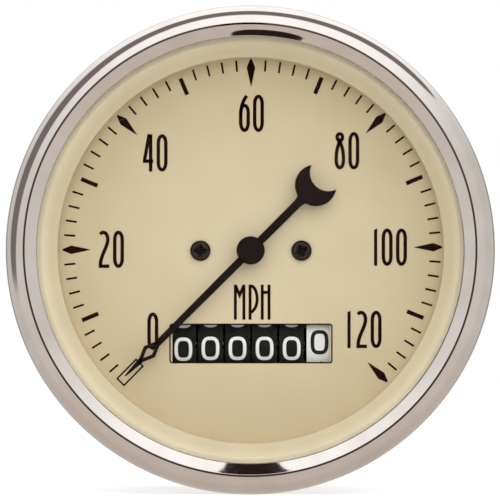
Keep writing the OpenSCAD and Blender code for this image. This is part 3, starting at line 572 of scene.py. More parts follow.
def clear_glass(name, colour, index, wave_mm):
    """A clear shader and a gloss that varies a little, mixed by Fresnel's law for the given index."""
    finish, tree, shader, place = new_finish(name)
    tree.nodes.remove(shader)
    clear = tree.nodes.new("ShaderNodeBsdfTransparent")
    clear.inputs["Color"].default_value = colour
    gloss = tree.nodes.new("ShaderNodeBsdfGlossy")
    tree.links.new(spread(tree, noise(tree, place, wave_mm), *GLASS_HAZE), gloss.inputs["Roughness"])
    fresnel = tree.nodes.new("ShaderNodeFresnel")
    fresnel.inputs["IOR"].default_value = index
    mix = tree.nodes.new("ShaderNodeMixShader")
    tree.links.new(fresnel.outputs["Fac"], mix.inputs["Fac"])
    tree.links.new(clear.outputs["BSDF"], mix.inputs[1])
    tree.links.new(gloss.outputs["BSDF"], mix.inputs[2])
    tree.links.new(mix.outputs["Shader"], tree.nodes["Material Output"].inputs["Surface"])
    return finish


lens_glass = clear_glass("glass", colour=(0.995, 0.995, 0.99, 1), index=1.09, wave_mm=30)
bulb_glass = clear_glass("bulb_glass", colour=(0.98, 0.93, 0.8, 1), index=1.45, wave_mm=4)
print("glasses:", lens_glass.name, bulb_glass.name)

# %% [markdown]
# Every solid gets the finish of its slot in the record, also those inside the case, because someone may
# open it one day. Finishes could be given out piece by piece, but the record already says which goes
# where. Two solids have a finish of their own, both with painted shade: the dial has its cream that
# darkens outwards, and the thin carriers between the number wheels have the pointer's darker black, so
# that the gaps between the wheels show as shade.

# %% Finishes on the solids
FINISHES = {
    "chrome": chrome, "glass": lens_glass, "rubber": rubber, "cream_enamel": cream,
    "black_screw": screw_black, "pointer_black": pointer_black, "case_steel": case_zinc,
    "zinc_steel": zinc, "die_cast": die_cast, "aluminium": spun_aluminium, "magnet_steel": magnet_grey,
    "tinned_steel": tin_plate, "bright_steel": turned_steel, "brass": brass,
    "white_plastic": drum_white, "black_plastic": drum_black, "bulb_glass": bulb_glass,
}
# Painted shade: the dial's darker rim and the carriers' darker black.
PAINTED_SHADE_FINISHES = {"dial_plate": dial_cream_with_painted_shade, "pinion_carriers": pointer_black}
for part in frame["record"]["subparts"]:
    coats = frame["nodes"][part["node"]].data.materials
    coats.clear()
    coats.append(PAINTED_SHADE_FINISHES.get(part["node"], FINISHES[part["material_slot"]]))

# %% [markdown]
# Grooves, thread roots, slots and screw heads are darkened: polish and painted shade in the bezel's
# groove, darker thread roots, and painted shade in the slots and on the screw heads. Where they lie is
# known from the shape, so it is worked out for all points of a piece and written on the mesh as a mark,
# which the finish reads. A map painted by hand would do it too, but it would have to be painted again
# after each change.

# %% Marks of dirt and painted shade
def points_of(piece):
    """The points of a finished piece in the dial's own frame, in millimetres."""
    flat = np.zeros(len(piece.data.vertices) * 3, np.float32)
    piece.data.vertices.foreach_get("co", flat)
    x, y, z = flat.reshape(-1, 3).T / MM
    return x, z, -y


def mark_grime(piece, amount):
    """Writes the mark of dirt and painted shade, from 0 to 1, on every point of a piece."""
    layer = piece.data.attributes.new("dirt_and_shade_mark", "FLOAT", "POINT")
    layer.data.foreach_set("value", amount.astype(np.float32))


print("the lens can be read back:", len(points_of(frame["nodes"]["lens"])[0]), "points")

# %% [markdown]
# The bezel is spun from brass and plated: a full outer roll, a step line, and a face that slopes in to
# the glass. It could be a bevelled tube, but its section matters most of all here, because chrome shows
# nothing but the shape of its section. So the section is drawn first, with arcs and a curve.

# %% Bezel section
ROLL_W = 3.6
ROLL_OVER = 0.7
ROLL_H = 3.4
FACE_W = 6.0
FACE_BELOW = 0.05
FACE_DROP = 0.9
FACE_BEND_OUT = (-0.68, -0.24)
FACE_BEND_IN = (0.68, 0.335)
RIM_R = 0.3
RIM_START = 120
REAR_EDGE = 0.8
LIP_W = 3.1
SHELL_T = 0.9
GROOVE_HALF = 0.17
GROOVE_FLOOR = 0.04
GROOVE_DEPTH = 0.25
CORNER_STEPS = 8
ROLL_STEPS = 48
FACE_STEPS = 24
STEP_R = BEZEL_R - ROLL_W
OPENING_R = BEZEL_R - FACE_W


def bezel_profile():
    """From the rear edge round the outside: wall, oval roll, groove, sloped face, rim, and the inside."""
    lip_z = BEZEL_BACK + REAR_EDGE
    rear = arc((BEZEL_R - REAR_EDGE, lip_z), REAR_EDGE, -90, 0, CORNER_STEPS)
    roll_end = np.arccos((ROLL_OVER + GROOVE_HALF) / (ROLL_W + ROLL_OVER))
    roll_mid = (STEP_R - ROLL_OVER, BEZEL_TOP - ROLL_H * np.sin(roll_end))
    roll = arc(roll_mid, (ROLL_W + ROLL_OVER, ROLL_H), 0, np.degrees(roll_end), ROLL_STEPS)
    groove_z = BEZEL_TOP - GROOVE_DEPTH
    groove = [(STEP_R + GROOVE_FLOOR, groove_z), (STEP_R - GROOVE_FLOOR, groove_z)]
    rim_out = RIM_R * heading(RIM_START)
    face_out = np.array([STEP_R - GROOVE_HALF, BEZEL_TOP - FACE_BELOW])
    face_in = np.array([OPENING_R + RIM_R + rim_out[0], BEZEL_TOP - FACE_BELOW - FACE_DROP])
    face = bezier(face_out, face_out + FACE_BEND_OUT, face_in + FACE_BEND_IN, face_in, FACE_STEPS)
    rim = arc(face_in - rim_out, RIM_R, RIM_START, 180, CORNER_STEPS)[1:]
    shell_r, lip_r = BEZEL_R - SHELL_T, BEZEL_R - LIP_W
    inside = [(OPENING_R, LENS_TOP), (shell_r, LENS_TOP), (shell_r, lip_z), (lip_r, lip_z),
              (lip_r, BEZEL_BACK)]
    return np.vstack([rear, roll, groove, face, rim, inside])


print("bezel section points:", len(bezel_profile()))

# %% [markdown]
# The section is turned on the lathe and plated. Polish stays behind in the groove of the step line, and
# shade falls in it, so the points near it are marked dark, less and less with their distance: polish and
# painted shade. A dark ring could lie in the groove instead, but its edges would be hard.

# %% Bezel
GROOVE_POLISH_AND_SHADE = 1.4
bezel = make_piece("chrome_bezel", lathe(*bezel_profile().T), chrome, "instrument")
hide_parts("bezel")
x, y, z = points_of(bezel)
from_step = np.abs(np.hypot(x, y) - STEP_R)
# Polish and painted shade darken the groove of the step line.
mark_grime(bezel, np.clip(GROOVE_POLISH_AND_SHADE - from_step / GROOVE_HALF, 0, 1) * (z > LENS_TOP))

# %% [markdown]
# The funnel between glass and dial is a pressed ring in the same cream: a rounded lip, a slope at 45
# degrees, and an upright wall that stands on the dial. The slope catches the light, and the wall shades
# the edge of the dial, which makes it look deep. A flat washer would show neither.

# %% Reflector ring
ring_high = reach("reflector_ring")[1]
RING_R, RING_TOP = ring_high[0], ring_high[2]
LIP_R = 1.0
LIP_STEPS = 10
RING_INSET = 7.5
SLOPE_W = 2.1
RING_WALL = 0.7
RING_FLANGE = 0.8
EDGE_R = 0.3
HALF_BEND = np.tan(np.radians(45 / 2))
lip = arc((BEZEL_R - RING_INSET + LIP_R, RING_TOP - LIP_R), LIP_R, 90, 135, LIP_STEPS)
foot_r = BEZEL_R - RING_INSET - SLOPE_W
edge_z = lip[-1, 1] - (lip[-1, 0] - foot_r)
edge = arc((foot_r + EDGE_R, edge_z - HALF_BEND * EDGE_R), EDGE_R, 135, 180, CORNER_STEPS)
wall_r, wall_z = foot_r + RING_WALL, edge_z - HALF_BEND * RING_WALL
flange_z = RING_TOP - RING_FLANGE
back = [(foot_r, DIAL_FACE), (wall_r, DIAL_FACE), (wall_r, wall_z),
        (wall_r + flange_z - wall_z, flange_z), (RING_R, flange_z), (RING_R, RING_TOP)]
# The funnel's finish has painted light on its lip.
funnel = make_piece("cream_funnel", lathe(*np.vstack([lip, edge, back]).T), funnel_cream_with_painted_light,
                    "instrument")
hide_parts("reflector_ring")

# %% [markdown]
# The scale. A speed lies at an angle: 0 at the lower left, 60 at the top, 120 at the lower right. There
# is a thin line every 2 miles an hour, a bar at the odd tens, a long diamond at every 20, and an open
# box at zero. Printing is flat and could be an image, but here each mark is a real slip of ink, which
# stays sharp at any distance. As on the real dial, the print is turned a little and sits a little off
# centre.

# %% Scale marks
ZERO_ANGLE = 225
TOP_SPEED = 120
DEGREES_PER_MPH = 2.25
PRINT_TURN = 0.39
PRINT_SHIFT = (0.245, 0.42)
INK_BACK = DIAL_FACE - 0.02
INK_TOP = DIAL_FACE + 0.03
LINE_REACH, LINE_PEN = (34.05, 36.2), 0.38
BAR_REACH, BAR_PEN = (32.05, 35.45), 0.8
DIAMOND_REACH, DIAMOND_PENS = (31.1, 34.75, 36.4), (0.08, 1.64, 0.3)
BOX_NEAR, BOX_FAR, BOX_HALF, BOX_PEN = 30.8, 35.95, 0.92, 0.32


def on_x(places):
    """Places along the x axis as points of the plane."""
    return np.stack([places, np.zeros(len(places))], axis=-1)


def on_ray(speed, shape):
    """A shape drawn along the x axis, turned to the ray of a speed and moved with the print."""
    return turned(shape, ZERO_ANGLE + PRINT_TURN - DEGREES_PER_MPH * speed, PRINT_SHIFT)


def mark(speed, radii, width):
    """A straight mark on the ray of a speed, of one width or with a width at each radius."""
    return on_ray(speed, stroke(on_x(radii), width, INK_BACK, INK_TOP))


def inked(name, shapes):
    """Several shapes as one piece of black print on the dial."""
    return make_piece(name, joined(shapes), ink_black, "instrument")


lines = [mark(speed, LINE_REACH, LINE_PEN) for speed in range(2, TOP_SPEED, 2) if speed % 10]
bars = [mark(speed, BAR_REACH, BAR_PEN) for speed in range(10, TOP_SPEED, 20)]
diamonds = [mark(speed, DIAMOND_REACH, DIAMOND_PENS) for speed in range(20, TOP_SPEED + 1, 20)]
box_path = [(BOX_NEAR, -BOX_HALF), (BOX_FAR, -BOX_HALF), (BOX_FAR, BOX_HALF), (BOX_NEAR, BOX_HALF)]
zero_box = on_ray(0, stroke(box_path, BOX_PEN, INK_BACK, INK_TOP, closed=True))
inked("scale_marks", lines + bars + diamonds + [zero_box])
print("scale:", len(lines), "lines,", len(bars), "bars,", len(diamonds), "diamonds")

# %% [markdown]
# The numbers are tall, narrow letters of the Art Deco kind. Three forms come back in them: a narrow loop
# with round ends, a drop that starts from a point, and a straight bar. Each is a path for the pen, drawn
# about the figure's own centre. Tracing the photograph would give paths as well, but uneven ones.

# %% Loops and drops
FIGURE_H = 7.18
FIGURE_W = 2.12
PEN = 0.68
TALL = (FIGURE_H - PEN) / 2
WIDE = (FIGURE_W - PEN) / 2
FULL = FIGURE_H / 2
CAP_STEPS = 22
DROP_SWELL, DROP_RISE, DROP_FILL = 0.62, 0.25, 0.55
DROP_SIDE_STEPS, DROP_END_STEPS = 14, 20


def loop(top, bottom, wide, top_cap, bottom_cap):
    """A closed narrow loop: half an ellipse above, half an ellipse below, straight sides between."""
    upper = arc((0, top - top_cap), (wide, top_cap), 0, 180, CAP_STEPS)
    lower = arc((0, bottom + bottom_cap), (wide, bottom_cap), 180, 360, CAP_STEPS)
    return np.vstack([upper, lower])


def drop(point, far, wide, cap):
    """A closed drop: from a point, two curves swell to full width, and half an ellipse ends it."""
    turn = np.sign(far - point)
    belly = far - turn * cap
    rise = belly - point
    side = bezier((0, point), (DROP_SWELL * wide, point + DROP_RISE * rise),
                  (wide, point + DROP_FILL * rise), (wide, belly), DROP_SIDE_STEPS)
    end = arc((0, belly), (wide, turn * cap), 0, 180, DROP_END_STEPS)
    return np.vstack([side[:-1], end, (side * [-1, 1])[-2:0:-1]])


def straight(*points):
    """An open stroke through the given points."""
    return np.array(points, float), False


print("figures are", FIGURE_H, "mm tall, drawn with a pen of", PEN, "mm")

# %% [markdown]
# A font file is not to hand and wouldn't look the same, so each figure is a few strokes along loops,
# drops, bars and curves. They are mitred at corners and overlap where they cross, as a sign painter's do.
# Only the 1 is no stroke: it is a bar whose top is cut on a slant.

# %% Dial figures
ONE_HALF, ONE_CUT = 0.31, 0.26
ZERO_CAP = 1.45
TWO_CAP, TWO_HOOK_START, TWO_HOOK_STEPS = 1.36, 134, 18
TWO_LEFT, TWO_SWELL, TWO_HEEL, TWO_TOE = 0.17, 0.15, 0.25, 0.08
FOUR_STEM, FOUR_BAR, FOUR_BAR_HALF = 0.48, -1.58, 1.0
SIX_TOP, SIX_CAPS = 1.5, (1.4, 1.5)
EIGHT_CROSSING, EIGHT_UPPER, EIGHT_LOWER = 1.76, (0.52, 0.62), (0.7, 1.5)
CURVE_STEPS = 20


def dial_figure(figure):
    """The strokes of one figure about its centre, each a path and whether the path is closed."""
    if figure == "0":
        return [(loop(TALL, -TALL, WIDE, ZERO_CAP, ZERO_CAP), True)]
    if figure == "2":
        hook = arc((-TWO_LEFT, TALL - TWO_CAP), (WIDE + TWO_SWELL, TWO_CAP), TWO_HOOK_START, 0,
                   TWO_HOOK_STEPS)
        sweep = bezier(hook[-1], (WIDE, 0.55), (-WIDE, -1.2), (-WIDE, -TALL + TWO_HEEL), CURVE_STEPS)
        foot = [(-WIDE, -TALL), (FIGURE_W / 2 - TWO_TOE, -TALL)]
        return [(np.vstack([hook, sweep[1:], foot]), False)]
    if figure == "4":
        return [straight((FOUR_STEM, -FULL), (FOUR_STEM, FULL)), straight((0.2, FULL), (-0.72, -1.6)),
                straight((-FOUR_BAR_HALF, FOUR_BAR), (FOUR_BAR_HALF, FOUR_BAR))]
    if figure == "6":
        stem = bezier((-WIDE, -0.9), (-WIDE, 1.2), (-0.4, 2.25), (0.44, FULL - 0.22), CURVE_STEPS)
        return [(loop(SIX_TOP, -TALL, WIDE, *SIX_CAPS), True), (stem, False)]
    return [(drop(EIGHT_CROSSING, TALL, *EIGHT_UPPER), True),
            (drop(EIGHT_CROSSING, -TALL, *EIGHT_LOWER), True)]


def drawn(strokes, pen, centre):
    """Strokes as ink on the dial, moved to a centre."""
    shapes = [stroke(path, pen, INK_BACK, INK_TOP, closed) for path, closed in strokes]
    return [turned(shape, 0, centre) for shape in shapes]


def one(centre):
    """The figure 1: a bar whose top is cut on a slant."""
    left = np.array([(-ONE_HALF, -FULL), (-ONE_HALF, FULL - ONE_CUT)])
    right = np.array([(ONE_HALF, -FULL), (ONE_HALF, FULL)])
    return [turned(band(left, right, INK_BACK, INK_TOP), 0, centre)]


print("strokes in each figure:", [len(dial_figure(figure)) for figure in "02468"])

# %% [markdown]
# Each number has a centre on the dial, and its figures have places along its line, because narrow and
# broad figures don't stand evenly. They could be spaced by their widths, but a sign painter, too, sets
# them one by one.

# %% Dial numbers
NUMBERS = [
    ("0", (-18.83, -15.43), (0,)),
    ("20", (-26.8, 0.28), (-1.37, 1.37)),
    ("40", (-18.4, 18.78), (-1.34, 1.34)),
    ("60", (0.1, 26.37), (-1.34, 1.34)),
    ("80", (18.4, 19.17), (-1.34, 1.34)),
    ("100", (26.75, 0.67), (-2.83, -0.63, 2.12)),
    ("120", (21.75, -15.1), (-2.94, -0.47, 2.25)),
]
number_shapes = []
for number, (centre_x, centre_y), places in NUMBERS:
    for figure, place in zip(number, places):
        spot = (centre_x + place, centre_y)
        number_shapes += one(spot) if figure == "1" else drawn(dial_figure(figure), PEN, spot)
inked("dial_numbers", number_shapes)

# %% [markdown]
# Below the hub stands the unit, MPH, in the same hand but with a finer pen: the V of the M stops a third
# of the way down, the bowl of the P hangs low, and the bar of the H sits high. A text object would need
# a font with these letters, so they are strokes too.

# %% Unit letters
LETTER_H = 6.72
LETTER_PEN = 0.58
UNIT_Y = -9.88
M_X, P_X, H_X = -2.17, 0.45, 2.82
M_HALF, M_DIP = 0.82, 2.0
M_TIP, M_TIP_DROP = 0.84, 0.05
P_STEM, P_BOWL = -0.62, (0.74, 0.62)
P_BOWL_STEPS = 14
H_HALF, H_DROP = 0.65, 1.48
letter_top = LETTER_H / 2
tip_y = letter_top - M_TIP_DROP


def upright(x):
    """An upright of a letter, from its foot to its top."""
    return straight((x, -letter_top), (x, letter_top))


bowl = np.vstack([
    bezier((P_STEM, letter_top - 0.24), (0.35, letter_top - 0.2), (P_BOWL[0], 1.7), P_BOWL, P_BOWL_STEPS),
    bezier(P_BOWL, (P_BOWL[0], -0.6), (0.3, -1.5), (-0.5, -2.0), P_BOWL_STEPS)[1:]])
letter_m = [upright(-M_HALF), upright(M_HALF),
            straight((-M_TIP, tip_y), (0, letter_top - M_DIP), (M_TIP, tip_y))]
letter_p = [upright(P_STEM), (bowl, False)]
letter_h = [upright(-H_HALF), upright(H_HALF),
            straight((-H_HALF, letter_top - H_DROP), (H_HALF, letter_top - H_DROP))]
unit_shapes = []
for letter, letter_x in ((letter_m, M_X), (letter_p, P_X), (letter_h, H_X)):
    unit_shapes += drawn(letter, LETTER_PEN, (letter_x, UNIT_Y))
inked("unit_letters", unit_shapes)

# %% [markdown]
# The odometer window has a painted black edge with small round corners, and at its two ends a narrow
# pale bevel down to the wheels. A Bevel modifier on the dial would round its holes as well. Both pieces
# follow the window's outline instead: the edge is a stroke along it, and the bevel is a band between an
# outer and an inner box.

# %% Odometer window
WINDOW_W = 31.0
WINDOW_H = 7.5
WINDOW_INK = 0.26
INK_INSET = 0.06
CORNER_R = 0.45
BOX_CORNER_STEPS = 6
BEVEL_PLAY = 0.02
BEVEL_END = 0.42
BEVEL_SIDE = 0.03
BEVEL_DEPTH = 0.75
BEVEL_BELOW = 0.01
BEVEL_SECTION = np.array([[1, 1], [-1, 0.35], [-1, 0], [1, 0]], float)
wheel_low, wheel_high = reach("units_wheel")
AXLE_Y, AXLE_Z = (wheel_low[1:] + wheel_high[1:]) / 2


def round_box(width, height):
    """A box about the window's centre whose corners are quarter circles."""
    x, y = width / 2 - CORNER_R, height / 2 - CORNER_R
    middles = [(x, y), (-x, y), (-x, -y), (x, -y)]
    corners = [arc(middle, CORNER_R, 90 * turn, 90 * turn + 90, BOX_CORNER_STEPS)
               for turn, middle in enumerate(middles)]
    return np.vstack(corners) + [0, AXLE_Y]


outline = stroke(round_box(WINDOW_W + INK_INSET, WINDOW_H - 2 * INK_INSET), WINDOW_INK,
                 DIAL_FACE - BEVEL_DEPTH / 2, INK_TOP, closed=True)
bevel = band(round_box(WINDOW_W - BEVEL_PLAY, WINDOW_H - BEVEL_PLAY),
             round_box(WINDOW_W - 2 * BEVEL_END, WINDOW_H - 2 * BEVEL_SIDE),
             DIAL_FACE - BEVEL_DEPTH, DIAL_FACE - BEVEL_BELOW, True, BEVEL_SECTION)
inked("window_outline", [outline])
make_piece("window_bevel", bevel, cream, "instrument")

# %% [markdown]
# The figures on the number wheels are broad, and their rounds are nearly boxes with soft corners. Such a
# form has a formula: a circle whose cosine and sine are raised to a power. Arcs joined to straight runs
# would look alike, but their joints would show as flat spots. Straight runs get points on the way, so
# that they can bend round a wheel.

# %% Rounded boxes
SQUIRCLE_STEPS = 56
BROAD_POWER = 3.0
BEND_STEP = 0.25


def signed_power(value, power):
    """The size of a value raised to a power, with the value's own sign."""
    return np.sign(value) * np.abs(value) ** power


def squircle(wide, tall, lift=0.0, start=0, end=360, power=BROAD_POWER):
    """A rounded box: x = w cos^(2/p), y = h sin^(2/p), each with the sign of its cosine or sine. The
    last point is left out, so that a full turn can be closed."""
    cosine, sine = heading(np.linspace(start, end, SQUIRCLE_STEPS + 1)[:-1])
    x, y = wide * signed_power(cosine, 2 / power), lift + tall * signed_power(sine, 2 / power)
    return np.stack([x, y], axis=-1)


def fine(path):
    """A path of straight runs with points at least every bend step."""
    path = np.asarray(path, float)
    lengths = np.linalg.norm(np.diff(path, axis=0), axis=1)
    counts = np.maximum(np.ceil(lengths / BEND_STEP).astype(int), 1)
    runs = [np.linspace(start, end, count, endpoint=False)
            for start, end, count in zip(path[:-1], path[1:], counts)]
    return np.vstack(runs + [path[-1:]])


print("a straight run of 1 mm gets", len(fine([(0, 0), (1, 0)])), "points")

# %% [markdown]
# The ten broad figures are strokes as well, in off-white on the black wheels and in black on the white
# tenths wheel. A picture wrapped round each wheel would blur close up. Their points are shares of half a
# figure's width and height, so that one drawing serves for both kinds of wheel.

# %% Broad figures
def wheel_figure(figure, wide, tall, pen):
    """The strokes of one broad figure about its centre. Wide and tall are half its size, and all points
    are shares of them. A foot that stands on the line goes half a pen below it."""
    def at(x, y):
        """A point at shares of the half width and the half height."""
        return x * wide, y * tall

    def ring(across, up, lift=0.0):
        """A closed rounded box, whose size and lift are such shares too."""
        return squircle(across * wide, up * tall, lift * tall), True

    foot = -1 - pen / 2 / tall
    hook = squircle(wide, tall, 0.0, 15, -150)
    two = np.vstack([bezier(at(-1, 0.45), at(-0.9, 1.2), at(1.1, 1.3), at(1, 0.4), 18),
                     fine([at(0.85, 0.05), at(-1, -1), at(1.1, -1)])])
    three = np.vstack([bezier(at(-0.9, 0.7), at(-0.6, 1.2), at(1.35, 1.1), at(0.7, 0.25), 16),
                       bezier(at(0.7, 0.25), at(0.6, 0.1), at(0.2, 0), at(-0.1, 0), 6)[1:]])
    five = np.vstack([fine([at(0.85, 1), at(-0.85, 1), at(-0.95, 0.1)])[:-1],
                      bezier(at(-0.95, 0.1), at(1.35, 0.55), at(1.35, -1), at(-0.1, -1), 20),
                      bezier(at(-0.1, -1), at(-0.5, -1), at(-0.8, -0.9), at(-1, -0.7), 8)[1:]])
    strokes = {
        "0": [ring(1, 1)],
        "1": [(fine([at(-0.55, 0.55), at(0.1, 1), at(0.1, foot)]), False)],
        "2": [(two, False)],
        "3": [(three, False), (three * [1, -1], False)],
        "4": [(fine([at(0.5, foot), at(0.5, 1), at(-1, -0.4), at(1.2, -0.4)]), False)],
        "5": [(five, False)],
        "6": [ring(1, 0.6, -0.4), (-hook, False)],
        "7": [(fine([at(-1.1, 1), at(1, 1), at(-0.3, foot)]), False)],
        "8": [ring(0.86, 0.48, 0.52), ring(1, 0.54, -0.46)],
        "9": [ring(1, 0.6, 0.4), (hook, False)],
    }
    return strokes[figure]


print("points of a broad 0:", len(wheel_figure("0", 1, 1, 0.5)[0][0]))

# %% [markdown]
# A wheel is a moulded disc, and a band on its edge carries the figures and nearly meets the next wheel's
# band. The strokes are laid round the band: length along the edge, divided by the radius, is an angle.
# A Simple Deform modifier would bend them too, but about the object's origin, on the dial's axis.

# %% Wheel bands
WHEEL_R = wheel_high[2] - AXLE_Z
BAND_OVER = 0.1
BAND_T = 0.3
BAND_RISE = 0.012
BAND_EDGE = 0.08
BAND_EDGE_STEPS = 5
BAND_STEPS = 120


def wrapped(shape, wheel_x):
    """Lays a flat shape on the wheel: length over radius is the angle a; y = r sin a, z = r cos a."""
    points, faces = shape
    x, length, rise = points.T
    angle = length / WHEEL_R
    radius = WHEEL_R + rise
    laid = [wheel_x + x, AXLE_Y + radius * np.sin(angle), AXLE_Z + radius * np.cos(angle)]
    return np.stack(laid, axis=-1), faces


def number_band(left, right):
    """The band of a wheel: a flat ring, a little wider than the disc, whose outer edges are quarter
    circles. Its section is turned about the axle: y = r cos a, z = r sin a."""
    left, right, top = left - BAND_OVER, right + BAND_OVER, WHEEL_R + BAND_RISE
    section = np.vstack([arc((right - BAND_EDGE, top - BAND_EDGE), BAND_EDGE, 0, 90, BAND_EDGE_STEPS),
                         arc((left + BAND_EDGE, top - BAND_EDGE), BAND_EDGE, 90, 180, BAND_EDGE_STEPS),
                         [(left, top - BAND_T), (right, top - BAND_T)]])
    points, faces = lathe(section[:, 1], section[:, 0], BAND_STEPS)
    y, z, x = points.T
    return np.stack([x, AXLE_Y + y, AXLE_Z + z], axis=-1), faces


print("wheel radius", round(WHEEL_R, 2), "mm")

# %% [markdown]
# The wheels roll upwards, so the next figure stands below. The five black wheels have stopped about a
# millimetre low, and the white one a little high. Text objects could be set out by hand, but a loop
# keeps all sixty figures in step. Bands and figures ride on their wheel's body, so they turn with it.

# %% Number wheels
FIGURE_PITCH = 2 * np.pi * WHEEL_R / 10
FIGURE_SINK = 0.02
FIGURE_T = 0.05
WHITE_HALF_W, WHITE_HALF_H, WHITE_PEN = 1.39, 1.95, 0.64
BLACK_HALF_W, BLACK_HALF_H, BLACK_PEN = 1.37, 1.99, 0.72
WHITE_LIFT = -0.96
OWN_LIFTS = {"ten_thousands": -1.13}
TENTHS_SHIFT = 0.15
TENTHS_LIFT = 0.24
WHEELS = ["tenths", "units", "tens", "hundreds", "thousands", "ten_thousands"]


def wheel_figures(wide, tall, pen, lift, middle):
    """All ten figures of a wheel as one shape, each one pitch below the one before."""
    shapes = []
    for number in range(10):
        for path, closed in wheel_figure(str(number), wide, tall, pen):
            moved = path + [0, lift - number * FIGURE_PITCH]
            shapes.append(wrapped(stroke(moved, pen, -FIGURE_SINK, FIGURE_T, closed), middle))
    return joined(shapes)


for wheel in WHEELS:
    low, high = reach(wheel + "_wheel")
    middle = (low[0] + high[0]) / 2
    ring = number_band(low[0], high[0])
    if wheel == "tenths":
        figures = wheel_figures(BLACK_HALF_W, BLACK_HALF_H, BLACK_PEN, TENTHS_LIFT, middle + TENTHS_SHIFT)
        make_piece(wheel + "_figures", figures, figure_black, wheel)
        make_piece(wheel + "_band", ring, drum_white, wheel)
    else:
        lift = OWN_LIFTS.get(wheel, WHITE_LIFT)
        figures = wheel_figures(WHITE_HALF_W, WHITE_HALF_H, WHITE_PEN, lift, middle)
        make_piece(wheel + "_figures", figures, figure_white, wheel)
        make_piece(wheel + "_band", ring, drum_black, wheel)

# %% [markdown]
# The pointer is stamped from thin sheet and dipped in black, and its tail ends in a crescent. Dipped
# edges are slightly round, so the whole blade has a pillow section; a Solidify modifier would leave it
# square. The crescent is a band between two circles, which stops just short of the horns, where the
# circles meet.

# %% Crescent
blade_low, blade_high = reach("pointer")
BLADE_BACK, BLADE_TOP = blade_low[2], blade_high[2]
TAIL_REACH = 17.62
MOON_R = 4.0
MOON_STEPS = 60
BITE_SHIFT = 0.86 * MOON_R
BITE_R = 0.885 * MOON_R
HORN_CUT = 1
PILLOW_STEPS = 16
PILLOW_SIDE, PILLOW_FACE = 0.35, 0.5
pillow_x, pillow_z = heading((np.arange(PILLOW_STEPS) + 0.5) * 360 / PILLOW_STEPS)
PILLOW = np.stack([signed_power(pillow_x, PILLOW_SIDE), 0.5 + 0.5 * signed_power(pillow_z, PILLOW_FACE)],
                  axis=-1)


def horn(near_r, far_r):
    """The angle, seen from a circle's middle, of the points where it meets the other circle: by the law
    of cosines, with the distance of the middles as the third side."""
    return np.degrees(np.arccos((BITE_SHIFT**2 + near_r**2 - far_r**2) / (2 * BITE_SHIFT * near_r)))


def crescent():
    """A band between the outer circle and the bite, from just short of one horn to just short of the
    other."""
    start, spare = horn(MOON_R, BITE_R) + HORN_CUT, horn(BITE_R, MOON_R) - HORN_CUT
    outside = arc((-TAIL_REACH, 0), (-MOON_R, MOON_R), start, 360 - start, MOON_STEPS)
    inside = arc((-TAIL_REACH - BITE_SHIFT, 0), (-BITE_R, BITE_R), 180 - spare, 180 + spare, MOON_STEPS)
    return band(outside, inside, BLADE_BACK, BLADE_TOP, False, PILLOW)


print("the crescent has", len(crescent()[1]), "faces")

# %% [markdown]
# The rest of the pointer is a slim arm that widens into the crescent, an open diamond, and a spike. They
# are three strokes, with a width at each place of the arm and the spike. A stamped outline with a hole
# would be one piece, but strokes that overlap a little look the same and keep their round edges. The
# blade is drawn along the x axis, and turned to zero last.

# %% Pointer
POINTER_TIP = float(np.hypot(*blade_low[:2]))
LOOP_BACK = 6.55
LOOP_HALF = 2.55
LOOP_WIDE = 1.11
LOOP_PEN = 0.72


def blade_stroke(path, width, closed=False):
    """A stroke of the stamped blade, with its pillow section between the blade's two faces."""
    return stroke(path, width, BLADE_BACK, BLADE_TOP, closed, PILLOW)


moon_edge = MOON_R - TAIL_REACH
loop_mid = POINTER_TIP - LOOP_BACK
loop_near, loop_far = loop_mid - LOOP_HALF, loop_mid + LOOP_HALF
diamond = [(loop_near, 0), (loop_mid, LOOP_WIDE), (loop_far, 0), (loop_mid, -LOOP_WIDE)]
arm_places = [moon_edge - 0.9, moon_edge + 0.1, moon_edge + 0.9, 0, loop_near + 0.55]
arm_widths = [3.0, 1.95, 1.64, 1.54, 1.22]
spike_places = [loop_far - 0.6, loop_far, POINTER_TIP]
spike_widths = [0.95, 1.08, 0.26]
blade = joined([blade_stroke(on_x(arm_places), arm_widths), blade_stroke(diamond, LOOP_PEN, True),
                blade_stroke(on_x(spike_places), spike_widths), crescent()])
pointer = make_piece("pointer_blade", turned(blade, ZERO_ANGLE), pointer_black, "needle")
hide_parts("pointer")
print("pointer reaches", round(POINTER_TIP, 2), "mm from the hub")

# %% [markdown]
# The hub cap hides the end of the spindle. It is a plain turned button with a soft edge, and a stem that
# goes down through the blade. A cylinder with a Bevel modifier would look the same from the front, but
# the stem would be a second piece.

# %% Hub cap
hub_low, hub_high = reach("pointer_hub")
HUB_R = hub_high[0]
HUB_EDGE = 0.45
HUB_EDGE_END, HUB_EDGE_STEPS = 80, 10
HUB_CROWN, HUB_CROWN_SHARE = 0.01, 0.5
STEM_R = 1.1
CAP_GAP = 0.02
CAP_CHAMFER_W, CAP_CHAMFER_H = 0.08, 0.1
SMALL_STEPS = 96
cap_z = BLADE_TOP + CAP_GAP
stem = [(0, hub_low[2]), (STEM_R, hub_low[2]), (STEM_R, cap_z), (HUB_R - CAP_CHAMFER_W, cap_z),
        (HUB_R, cap_z + CAP_CHAMFER_H)]
soft_edge = arc((HUB_R - HUB_EDGE, hub_high[2] - HUB_EDGE), HUB_EDGE, 0, HUB_EDGE_END, HUB_EDGE_STEPS)
crown = [(HUB_CROWN_SHARE * HUB_R, hub_high[2] - HUB_CROWN), (0, hub_high[2])]
cap = np.vstack([stem, soft_edge, crown])
hub = make_piece("hub_cap", lathe(*cap.T, SMALL_STEPS), pointer_black, "needle")
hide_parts("pointer_hub")

# %% [markdown]
# The two dial screws have round black heads with a cross recess. A Boolean cut would make it, but leaves
# long thin faces. Here the cross is a formula: it says for any point how far it lies inside an arm, and
# the head is pressed in by that. The same formula later says where the painted shade of the recess lies.

